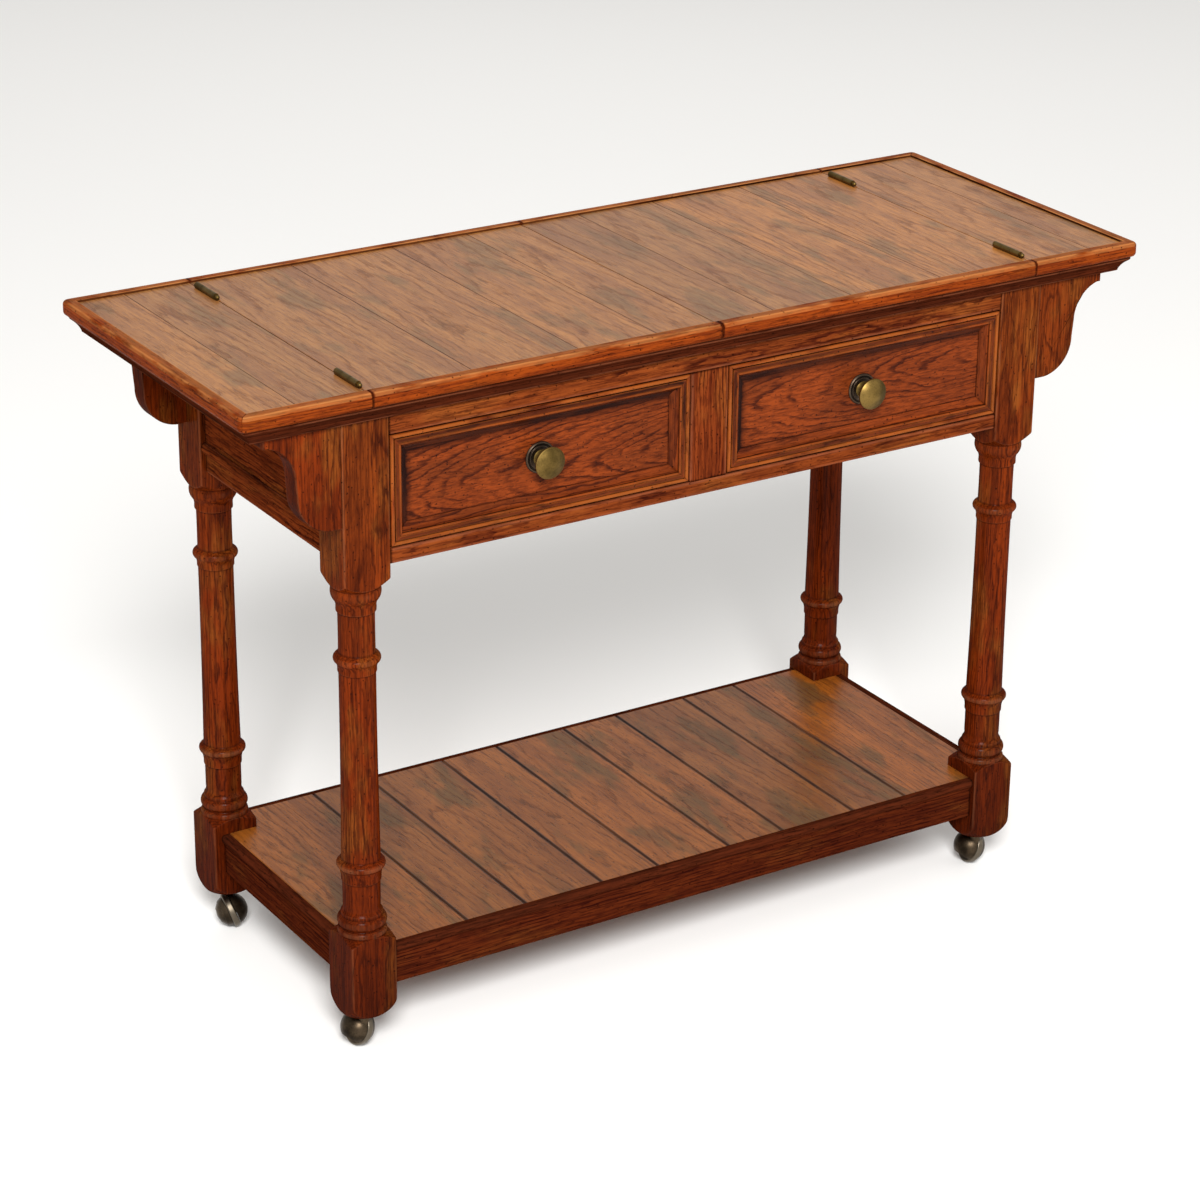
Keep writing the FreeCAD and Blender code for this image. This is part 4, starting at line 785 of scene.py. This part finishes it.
leg_steps += [((POST_CORNER, BLOCK_SHOULDER),), ((CLEAR, BLOCK_SHOULDER + OVER_BLOCK),)]
leg_steps += [((CLEAR, LEG_TOP),)]
leg_outline = traced((BORE_RADIUS, LEG_LOW + BORE_DEPTH), leg_steps, pieces=10)
leg_rows = eased(leg_outline, reach=0.6, spread=2.0, closed=False)
widest = np.maximum(leg_rows[1:, 0], leg_rows[:-1, 0])
row_steps = np.where(widest > HALF_POST - 0.5, CREST_ROWS, OTHER_ROWS)
leg_rows = refined(leg_rows, np.where(widest > CLEAR - 1, FAR_ROWS, row_steps))
print("the leg has", len(leg_rows), "rows from", leg_rows[:, 1].min(), "to", leg_rows[:, 1].max())


# %% Round and square in one
def square_radius(angle, half, arris):
    """How far a square post reaches at an angle a from its face: half / cos a on the face,
    and c (cos a + sin a) + sqrt(r^2 - c^2 (cos a - sin a)^2) on an arris of radius r."""
    turn = np.abs((angle + math.pi / 4) % (math.pi / 2) - math.pi / 4)
    a, b, c = np.cos(turn), np.sin(turn), half - arris
    arc = c * (a + b) + np.sqrt(np.maximum(arris ** 2 - (c * (a - b)) ** 2, 0))
    return np.where(half * b > c * a, arc, half / a)


def smaller(a, b, soft):
    """The smaller of two lengths, with the edge between them sanded over a soft length."""
    return (a + b - np.sqrt((a - b) ** 2 + soft ** 2)) / 2


half_turn = np.array([0, 7, 14, 21, 27, 32, 36, 39, 41, 42.4, 43.3, 44.2])
quarter_turn = np.concatenate([half_turn, [45], 90 - half_turn[:0:-1]])
leg_angle = np.radians(np.concatenate([quarter_turn + turn for turn in (0, 90, 180, 270)]))
post = square_radius(leg_angle, HALF_POST, POST_ARRIS)[None]
lathe = leg_rows[:, :1]
leg_radius = smaller(lathe, post, soft=1.0)
print("leg radius from", leg_radius.min().round(2), "to", leg_radius.max().round(2), "mm")

# %% Where a leg is worn and glazed, with painted glints and painted shade
CREST_AT, CREST_BAND = 0.985 * HALF_POST, 0.035 * HALF_POST
# Wear on the ring crests and on the tongues' edges is partly a painted glint.
RING_WEAR, CREST_WEAR_AND_GLINT, ARRIS_WEAR, TONGUE_WEAR_AND_GLINT, LEG_GLAZE = 0.3, 0.15, 0.45, 0.4, 0.45
ARRIS_SPREAD, TONGUE_SPREAD, SQUARE_BLEND, SMALLEST_TONGUE = 2.0, 0.9, 1.5, 20.0
# The tone falls from the top of the leg to its foot, which paints shade on the lower leg.
LEG_SHADE_HEIGHTS, LEG_SHADE_TONES = (LEG_LOW, 250, BLOCK_SHOULDER, LEG_TOP), (-2.2, -1.3, -0.3, 0.9)
on_crest = np.abs(leg_rows[:, 0] - CREST_AT) < CREST_BAND
ring_wear_and_glint = np.minimum(leg_rows[:, 2], RING_WEAR) + CREST_WEAR_AND_GLINT * on_crest
on_square = np.clip(0.5 + (lathe - post) / SQUARE_BLEND, 0, 1)
from_corner = np.abs(leg_angle % (math.pi / 2) - math.pi / 4) * leg_radius / ARRIS_SPREAD
arris_wear = ARRIS_WEAR * np.exp(-from_corner ** 2) * on_square
tongue_wear_and_glint = TONGUE_WEAR_AND_GLINT * np.exp(-((lathe - post) / TONGUE_SPREAD) ** 2)
tongue_wear_and_glint = tongue_wear_and_glint * (lathe > SMALLEST_TONGUE)
leg_wear_and_glints = np.maximum(ring_wear_and_glint[:, None] * (1 - on_square), np.maximum(arris_wear, tongue_wear_and_glint))
leg_glaze = LEG_GLAZE * leg_rows[:, 3:4] * (1 - on_square)
leg_marks = np.stack([leg_wear_and_glints, leg_glaze], axis=2)
leg_shade_tone = np.repeat(np.interp(leg_rows[:, 1], LEG_SHADE_HEIGHTS, LEG_SHADE_TONES), len(leg_angle))
leg_spokes = np.stack([np.cos(leg_angle), np.sin(leg_angle), 0 * leg_angle], axis=1)
print("leg wear up to", leg_wear_and_glints.max().round(2), "and glaze up to", leg_glaze.max().round(2))

# %% Four legs
CORNERS = ("front_left", "front_right", "rear_left", "rear_right")
for corner in CORNERS:
    low, high = extent(corner + "_leg")
    centre = (low + high) / 2 * (1, 1, 0)
    grid = leg_radius[..., None] * leg_spokes[None] + centre + leg_rows[:, None, 1:2] * Z
    post = shell(grid, leg_marks, fibre="zxy", pith=(60, 100), rise=0.01, tone=leg_shade_tone)
    piece(corner + "_turned_leg", [post], "base", [corner + "_leg"], "leg_oak")

# %% [markdown]
# ## The top's rim
#
# A raised rim runs round the top, mitred at the four corners and cut through where the leaves fold. Its
# upper outer arris is a quarter round that every hand rubs, and its thin inner lip is palest of all. Both
# pale marks are partly wear and partly painted highlight, and the whole top is lightened with painted
# light. Glaze fills the angle where it meets the boards.

# %% Rim strips
RIM_WIDTH, RIM_TOP_ROUND, RIM_LOW_ROUND, RIM_LIP_ROUND, PLAN_ROUND = 13.0, 4.5, 5.0, 1.0, 8.0
# The top's even mark is painted light. The marks on the round and the lip are partly wear and partly
# painted highlight.
ROUND_MARK_AT, ROUND_MARK_SPREAD, LIP_SPREAD = 60, 25, 2.2
TOP_PAINTED_LIGHT, ROUND_WEAR_AND_HIGHLIGHT, LIP_WEAR_AND_HIGHLIGHT, INNER_GLAZE, INNER_SIDE = 0.45, 0.7, 0.95, 0.9, 0.2


def rim_rows(height):
    """The rim's section, u outward from the boards and v up from its underside.

    The top is evenly lightened with painted light. A pale mark, partly wear and partly painted highlight,
    rises towards one angle of the quarter round and rises again to the lip, each time as a bell curve
    exp(-(x / spread) ** 2) of the way x from there.
    """
    w, t, b, e = RIM_WIDTH, RIM_TOP_ROUND, RIM_LOW_ROUND, RIM_LIP_ROUND
    steps = rounded((w, 0), (-1, 0), (0, 1), b) + rounded((w, height), (0, -1), (-1, 0), t)
    steps += [(((w - t) / 2, height),), ((2 * e, height),)]
    steps += rounded((0, height), (1, 0), (0, -1), e)
    rows = eased(traced((0, 0), steps, pieces=10), reach=0.4)
    u, v = rows[:, 0], rows[:, 1]
    degrees = np.degrees(np.arctan2(v - height + t, u - w + t))
    round_wear_and_highlight = np.exp(-((degrees - ROUND_MARK_AT) / ROUND_MARK_SPREAD) ** 2) * (u > w - t)
    lip_wear_and_highlight = np.exp(-(u / LIP_SPREAD) ** 2) * (v > height - e)
    top_light_and_wear = np.maximum(TOP_PAINTED_LIGHT, ROUND_WEAR_AND_HIGHLIGHT * round_wear_and_highlight) * (v > height - t)
    rows[:, 2] = np.maximum(top_light_and_wear, LIP_WEAR_AND_HIGHLIGHT * lip_wear_and_highlight)
    rows[:, 3] = np.where(u < INNER_SIDE, INNER_GLAZE, 0)
    return rows


def rounded_corner(points):
    """Plan points beyond a corner's centre keep the larger of their two offsets as their
    distance from it, which turns a square corner of the rim into a round one."""
    centre = HALF_TOP - PLAN_ROUND
    beyond = np.abs(points[:, :2]) - centre
    far, reach = beyond.max(1), np.maximum(np.hypot(*beyond.T), TINY)
    moved = np.sign(points[:, :2]) * (centre + beyond * (far / reach)[:, None])
    points[:, :2] = np.where((beyond > 0).all(1)[:, None], moved, points[:, :2])


# Rows stand close together near a mitre, where the plan's round corner bends them.
MITRE = {"ease": 0.4, "stations": (*np.arange(0.8, 12, 0.8), 16.0), "end_marks": (0, 0.5)}
for way, name in ((-1, "left"), (1, "right")):
    low, high = extent(name + "_end_rim")
    rows = rim_rows(high[2] - low[2])
    inner = np.abs(low[1]) - RIM_WIDTH
    joint, outer = sorted(np.abs([low[0], high[0]]))
    long = {"start": joint, "stop": outer - RIM_WIDTH, "slants": (0, 1), "fibre": "xyz", **MITRE}
    short = {"start": -inner, "stop": inner, "slants": (-1, 1), "fibre": "yxz", **MITRE}
    strips = [bar(rows, np.array([0, side * inner, low[2]]), way * X, side * Y, Z, **long)
              for side in (-1, 1)]
    foot = np.array([way * (outer - RIM_WIDTH), 0, low[2]])
    strips.append(bar(rows, foot, Y, way * X, Z, **short))
    for strip in strips:
        rounded_corner(strip["points"])
    piece(name + "_end_mitred_rim", strips, "base", [name + "_end_rim"], "rim_oak")
    low, high = extent(name + "_leaf_rim")
    rows = rim_rows(high[2] - low[2])
    strips = [bar(rows, np.array([0, side * inner, low[2]]), X, side * Y, Z, low[0], high[0],
                  ease=0.3, fibre="xyz") for side in (-1, 1)]
    piece(name + "_leaf_lit_and_rubbed_rim", strips, name + "_leaf", [name + "_leaf_rim"], "rim_oak")

# %% [markdown]
# ## Mouldings
#
# The cove under the top, the beads on the side aprons and the frames on the drawer fronts are one thing:
# an outline from a cutter, cut to length and mitred. The cove is stained nearly black to set off the top.
# The drawer frames' outer bead is rubbed pale and carries a painted highlight, and glaze lies in their
# quirk. The slopes that run down to the drawer carry painted shade, darkest on the top and left lengths.

# %% A frame of mitred bars
def mitred(rows, centre, half_along, half_across, along, across, out, way, **wood):
    """Four bars round a rectangle. The outline's u runs outward with way 1, inward with -1."""
    bars = []
    for a, b, half_a, half_b in ((along, across, half_along, half_across),
                                 (across, along, half_across, half_along)):
        fibre = "".join(max(AXES, key=lambda axis: abs(v @ AXES[axis])) for v in (a, b, out))
        for side in (-1, 1):
            bars.append(bar(rows, centre + side * half_b * b, a, side * way * b, out, -half_a, half_a,
                            (-way, way), ease=0.3, end_marks=(0, 0.3), fibre=fibre, **wood))
    return bars


print("mitred frames ready")

# %% The cove under the top
COVE_SHARES = (
    ((1, 0),), ((1, 0.19),), ((0.92, 0.26),), ((0.55, 0.555), (0.34, 0.88)), ((0.34, 0.92),),
    ((0.29, 0.975), (0.17, 1)), ((0, 1),),
)
cove_low, cove_high = extent("under_top_moulding")
deck_high = extent("serving_deck")[1]
cove_reach, cove_drop = cove_high[0] - deck_high[0], cove_high[2] - cove_low[2]
cove_outline = traced((0, 0), sized(COVE_SHARES, cove_reach, -cove_drop), pieces=10)
cove_rows = eased(cove_outline, reach=0.5)
cove = mitred(cove_rows, cove_high * Z, deck_high[0], deck_high[1], X, Y, Z, 1)
piece("cove_under_top", cove, "base", ["under_top_moulding"], "dark_oak")

# %% Beads on the side aprons
BEAD_SHARES = (((0.35, 0),), ((1, 0.40), (0.55, 0.85)), ((0.25, 1),), ((0, 1),))
bead_low, bead_high = extent("side_apron_beads")
bead_foot = extent("right_side_apron")[1][0]
bead_outline = sized(BEAD_SHARES, bead_high[0] - bead_foot, bead_low[2] - bead_high[2])
bead_rows = eased(traced((0, 0), bead_outline, pieces=10), reach=0.4)
beads = [bar(bead_rows, np.array([way * bead_foot, 0, bead_high[2]]), Y, way * X, Z,
             bead_low[1], bead_high[1], fibre="yxz") for way in (-1, 1)]
piece("apron_bead_mouldings", beads, "base", ["side_apron_beads"], "frame_oak")

# %% [markdown]
# ## Aprons, rails and fronts
#
# These are plain sawn and planed boards. The drawer fronts are the showpiece: they are cut close to the
# pith, so the rings break out into nested arches that point to the left, on a plank that leans a few
# degrees to the log. The stile between them is cut straight. A thin line of glaze and painted shade runs
# round a drawer front along its frame, and a wide band of painted shadow of the frame lies along its top
# and left.

# %% Boards of the frame
APRON = {"pith": (40, 70), "rise": 0.03}
BOARDS = (
    ("left_side_apron", "yzx", APRON), ("right_side_apron", "yzx", APRON),
    ("back_apron", "xzy", APRON), ("front_top_rail", "xzy", {}), ("front_bottom_rail", "xzy", {}),
    ("centre_stile", "zyx", {"pith": (90, 120), "lie": 0.0}),
)
for name, fibre, log in BOARDS:
    board = plank(*extent(name), fibre, **log)
    piece(name + "_board", [board], "base", [name], "frame_oak")

# %% A drawer's panel
FRAME_WIDTH = 21.0
# Painted shadow of the frame lies on the panel in a wide band along its top and left. The lower steps give
# a thin line of glaze and painted shade along its bottom and right.
SHADE_STEPS, SHADE = (0, 2.5, 7, 15), (0.85, 0.55, 0.3, 0)
LOWER_STEPS, LOWER_SHADE, FACE_DEPTH = (0, 2.5), (0.7, 0), 0.1


def glaze_and_shade_over(made, amount):
    """Raises the glaze mark at each point of a shell to at least an amount. The drawers use it for glaze
    and for painted shade.
    """
    made["finish"][:, 1] = np.maximum(made["finish"][:, 1], amount)


def panel(low, high, **wood):
    """A drawer front, with rows and columns of points at each step of the painted shade on it. The painted
    shade falls with the distance from the frame: the smaller of those to its two sides. It is painted
    shadow of the frame along the top and left, and a thin line of glaze and painted shade along the bottom
    and right."""
    length, thick, tall = high - low
    rungs = [FRAME_WIDTH + step for step in SHADE_STEPS]
    columns = [rung - END_EASE for rung in rungs]
    rungs += [tall / 2] + [tall - rung for rung in rungs[::-1]]
    section = [((thick, 0),), ((thick, tall),), ((0, tall),)] + [((0, v),) for v in rungs[::-1]]
    front = bar(eased(traced((0, 0), section)), low, X, Y, Z, 0, length, stations=columns,
                fibre="xzy", tone=-0.5, **wood)
    after, before = (front["points"] - low)[:, [0, 2]], (high - front["points"])[:, [0, 2]]
    upper_left = np.minimum(after[:, 0], before[:, 1]) - FRAME_WIDTH
    lower_right = np.minimum(before[:, 0], after[:, 1]) - FRAME_WIDTH
    shade = np.interp(upper_left, SHADE_STEPS, SHADE)
    shade = np.maximum(shade, np.interp(lower_right, LOWER_STEPS, LOWER_SHADE))
    glaze_and_shade_over(front, shade * (front["points"][:, 1] < low[1] + FACE_DEPTH))
    return front


print("shade on a drawer panel, by the distance in mm:", dict(zip(SHADE_STEPS, SHADE)))

# %% The moulding on a drawer's face
FRAME_SHARES = (
    ((0, 0.70),), ((0.095, 1), (0.190, 0.72)), ((0.235, 0.72),), ((0.235, 0.93),), ((0.450, 0.93),),
    ((0.450, 0.80),), ((0.515, 0.95), (0.580, 0.76)), ((0.730, 0.30), (1, 0.10)), ((1, 0),),
)
BEAD, FILLET, SLOPE_FROM = (0.01, 0.17), (0.24, 0.45), 0.6
# The outer bead is pale from wear and from a painted highlight.
BEAD_WEAR_AND_HIGHLIGHT, EDGE_WEAR, FILLET_GLAZE = 0.8, 0.6, 0.5
# Painted shade on the slopes of the bottom, top, left and right lengths, darkest on the top and left.
SLOPE_SHADE_BY_SIDE, SLOPE_SHADE_GAIN, SLOPE_SHADE_FROM = (0.1, 0.8, 0.8, 0.45), 1.6, 0.45


def face_frame(face, low, high):
    """Four mitred lengths round a front whose face lies at a depth. Painted shade on their slopes grows
    with the share of the way down, and each of the four has its own amount: most on the top and left,
    least on the bottom."""
    drop = face - low[1]
    outline = traced((0, 0), sized(FRAME_SHARES, FRAME_WIDTH, drop))
    rows = eased(outline, reach=0.35)
    share = rows[:, 0] / FRAME_WIDTH
    on_bead = (share > BEAD[0]) & (share < BEAD[1])
    on_fillet = (share > FILLET[0]) & (share < FILLET[1])
    rows[:, 2] = np.where(on_bead, BEAD_WEAR_AND_HIGHLIGHT, EDGE_WEAR * rows[:, 2] * (share < SLOPE_FROM))
    rows[:, 3] = np.maximum(rows[:, 3], FILLET_GLAZE * on_fillet)
    centre, half = (low + high) / 2 * (1, 0, 1) + face * Y, (high - low) / 2
    frames = mitred(rows, centre, half[0], half[2], X, Z, -Y, -1, pith=(40, 70))
    for made, amount in zip(frames, SLOPE_SHADE_BY_SIDE):
        sunk = (made["points"][:, 1] - low[1]) / drop
        glaze_and_shade_over(made, amount * np.clip(SLOPE_SHADE_GAIN * sunk - SLOPE_SHADE_FROM, 0, 1))
    return frames


print("a drawer's moulding is", FRAME_WIDTH, "mm wide")

# %% Drawer fronts and their frames
for name, lean, lie in (("left", -0.16, 16.0), ("right", -0.13, -10.0)):
    low, high = extent(name + "_drawer_front")
    front = panel(low, high, pith=(30, 34), rise=lean, lie=lie)
    piece(name + "_drawer_panel", [front], name + "_drawer", [name + "_drawer_front"], "drawer_oak")
    frames = face_frame(low[1], *extent(name + "_drawer_moulding"))
    piece(name + "_drawer_frame", frames, name + "_drawer", [name + "_drawer_moulding"], "drawer_oak")

# %% [markdown]
# ## Corbels and shelf edges
#
# Four corbels carry the overhanging ends. They are sawn to a swept outline from upright
# boards, so the grain runs down them. The shelf's boards are edged by dark half round
# nosings, and stand on rails between the feet.

# %% Corbels
CORBEL_SHARES = (
    ((1, 0),), ((1, 0.100),), ((0.945, 0.100),), ((0.700, 0.225), (0.597, 0.455)), ((0.578, 0.620),),
    ((0.440, 0.895), (0.150, 1)), ((0, 1),),
)
CORBEL_THICK, CORBEL_WEAR, SWEPT_GLAZE = 25.0, 0.4, 0.45
corbel_low, corbel_high = extent("corbels")
corbel_foot = extent("rear_right_leg")[1][0]
corbel_reach, corbel_drop = corbel_high[0] - corbel_foot, corbel_high[2] - corbel_low[2]
corbel_outline = traced((0, 0), sized(CORBEL_SHARES, corbel_reach, -corbel_drop), pieces=12)
corbel_rows = eased(corbel_outline, reach=0.7)
corbel_rows[:, 2] *= CORBEL_WEAR
corbel_rows[:, 3] = np.where(corbel_rows[:, 0] > 1, SWEPT_GLAZE, corbel_rows[:, 3])
corbels = []
for way in (-1, 1):
    foot = np.array([way * corbel_foot, 0, corbel_high[2]])
    corbels += [bar(corbel_rows, foot, side * Y, way * X, Z, corbel_high[1] - CORBEL_THICK,
                    corbel_high[1], ease=1.0, end_marks=(CORBEL_WEAR, 0), fibre="zxy",
                    pith=(40, 70), tone=0.4 * way - 0.3) for side in (-1, 1)]
piece("swept_corbels", corbels, "base", ["corbels"], "leg_oak")

# %% Shelf nosing and rails
NOSING = {"width": 10.0, "height": 10.0, "radius": 4.2}
RAIL = {"width": 18.0, "height": 38.0, "radius": 1.0}
NOSING_WEAR = 0.3


def edge_bars(node, section, **wood):
    """Four bars along the shelf's edges between the feet. The section's u points outward."""
    low, high = extent(node)
    inner = high - section[:, 0].max()
    ends = -extent("front_left_leg")[1]
    bars = []
    for way in (-1, 1):
        for k, fibre, along, out in ((0, "xyz", X, Y), (1, "yxz", Y, X)):
            foot = way * inner * out + low * Z
            bars.append(bar(section, foot, along, way * out, Z, -ends[k], ends[k], fibre=fibre, **wood))
    return bars


def half_round(width, height, radius):
    """A bar's section with both outer corners rounded."""
    steps = rounded((width, 0), (-1, 0), (0, 1), radius)
    steps += rounded((width, height), (0, -1), (-1, 0), radius) + [((0, height),)]
    return eased(traced((0, 0), steps, pieces=7), reach=0.4)


nosing_rows = half_round(**NOSING) * (1, 1, NOSING_WEAR, 1)
nosings = edge_bars("shelf_nosing", nosing_rows)
piece("shelf_half_round_nosing", nosings, "base", ["shelf_nosing"], "dark_oak")
# A tone of -2.2 darkens the rails with painted shade.
rails = edge_bars("shelf_rails", half_round(**RAIL), pith=(40, 70), tone=-2.2)
piece("shelf_edge_rails", rails, "base", ["shelf_rails"], "frame_oak")

# %% [markdown]
# ## Knobs and casters
#
# The knobs are turned brass on a stepped backplate. Each caster's wheel is a dome with two
# turned rings on its open side and a flat tread, and it leans by twenty degrees, so it rolls
# on the tread's edge. All are outlines carried round an axis.

# %% Knobs and backplates
KNOB_RIM, PLATE_RIM, CAP_RISE = (17.5, 19.0), (17.5, 2.5), 6.5
KNOB_SIDES, AXIS_HOLE = 72, 0.3
KNOB_SHARES = (((0.52, 0),), ((0.36, 0.34), (0.60, 0.76)), ((1, 0.90),), ((1, 1),))
PLATE_SHARES = (
    ((1, 0),), ((1, 0.45),), ((0.94, 1),), ((0.88, 1),), ((0.81, 0.60), (0.74, 1)), ((0.3, 1),),
)
ball = (KNOB_RIM[0] ** 2 + CAP_RISE ** 2) / (2 * CAP_RISE)
half_way = math.asin(KNOB_RIM[0] / ball) / 2
cap_top = KNOB_RIM[1] + CAP_RISE
cap = ((ball * math.sin(half_way), cap_top - ball * (1 - math.cos(half_way))), (AXIS_HOLE, cap_top))
knob_outline = traced((AXIS_HOLE, 0), sized(KNOB_SHARES, *KNOB_RIM) + [cap], pieces=14)
knob_rows = refined(eased(knob_outline, reach=0.5, spread=1.5, closed=False), longest=1.2)
plate_outline = traced((AXIS_HOLE, 0), sized(PLATE_SHARES, *PLATE_RIM))
plate_rows = refined(eased(plate_outline, reach=0.3, spread=1.0, closed=False), longest=1.5)
for name in ("left", "right"):
    for rows, node, label, slot in ((plate_rows, "_knob_plate", "_stepped_backplate", "plate_bronze"),
                                    (knob_rows, "_knob", "_turned_knob", "antique_brass")):
        low, high = extent(name + node)
        base = (low + high) / 2 * (1, 0, 1) + high * (0, 1, 0)
        made = turned(rows, KNOB_SIDES, base, -Y, X)
        piece(name + label, [made], name + "_drawer", [name + node], slot)

# %% Caster wheels
WHEEL_RADIUS, HALF_TREAD, TREAD_ROUND, TREAD_MARGIN = 20.5, 3.7, 1.8, 0.1
DOME_RADIUS, DOME_RING, RING_ENDS = 18.2, 0.8, (36.0, 62.0, 89.0)
HUB_RADIUS, HUB_HEIGHT, AXLE_BORE, AXLE_END, WHEEL_SIDES = 6.0, 5.0, 3.05, 9.5, 96


def on_dome(degrees, depth):
    """The dome's outline at an angle from its edge: radius (cos a, sin a) less a depth."""
    angle = math.radians(degrees)
    return ((DOME_RADIUS - depth) * math.cos(angle), (DOME_RADIUS - depth) * math.sin(angle))


hub_end = -HALF_TREAD - HUB_HEIGHT
wheel_steps = [((AXLE_BORE, hub_end),), ((HUB_RADIUS, hub_end),), ((HUB_RADIUS, -HALF_TREAD),)]
wheel_steps += rounded((WHEEL_RADIUS, -HALF_TREAD), (-1, 0), (0, 1), TREAD_ROUND)
wheel_steps += rounded((WHEEL_RADIUS, HALF_TREAD), (0, -1), (-1, 0), TREAD_ROUND)
start, depth = math.degrees(math.asin(HALF_TREAD / DOME_RADIUS)), 0.0
for ring_end in RING_ENDS:
    arc = (on_dome((start + ring_end) / 2, depth), on_dome(ring_end, depth))
    wheel_steps += [(on_dome(start, depth),), arc]
    start, depth = ring_end, depth + DOME_RING
wheel_outline = traced((AXLE_BORE, AXLE_END), wheel_steps, pieces=10)
wheel_rows = eased(wheel_outline, reach=0.35, spread=1.2, closed=False)
wheel_rows = refined(wheel_rows, longest=1.0)
on_tread = wheel_rows[:, 0] > DOME_RADIUS + 2 * TREAD_MARGIN
on_tread = on_tread & (np.abs(wheel_rows[:, 1]) < HALF_TREAD + TREAD_MARGIN)
tread = np.repeat(TREAD_TONE * on_tread, WHEEL_SIDES)
joints = {joint["name"]: joint for joint in frame["joints"]}
for corner in CORNERS:
    spin = joints[corner + "_wheel_spin"]
    axle = np.array(spin["axis"], float)
    side = np.cross(axle, Z)
    side = side / np.linalg.norm(side)
    centre = np.array(spin["pos_m"]) / MM
    wheel = turned(wheel_rows, WHEEL_SIDES, centre, axle, side, tone=tread)
    piece(corner + "_ringed_wheel", [wheel], corner + "_wheel", [corner + "_caster_wheel"], "caster_wheel")

# %% [markdown]
# ## The size
#
# The new pieces stand in for packed ones, so together they must keep the imported size. The boxes of both
# are printed side by side.

# %% Print both boxes
boxes = {"cad": cad_box, "visual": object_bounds()}
boxes = {name: [[float(v) for v in corner] for corner in box] for name, box in boxes.items()}
print({name: [[round(v / MM, 2) for v in corner] for corner in box] for name, box in boxes.items()})
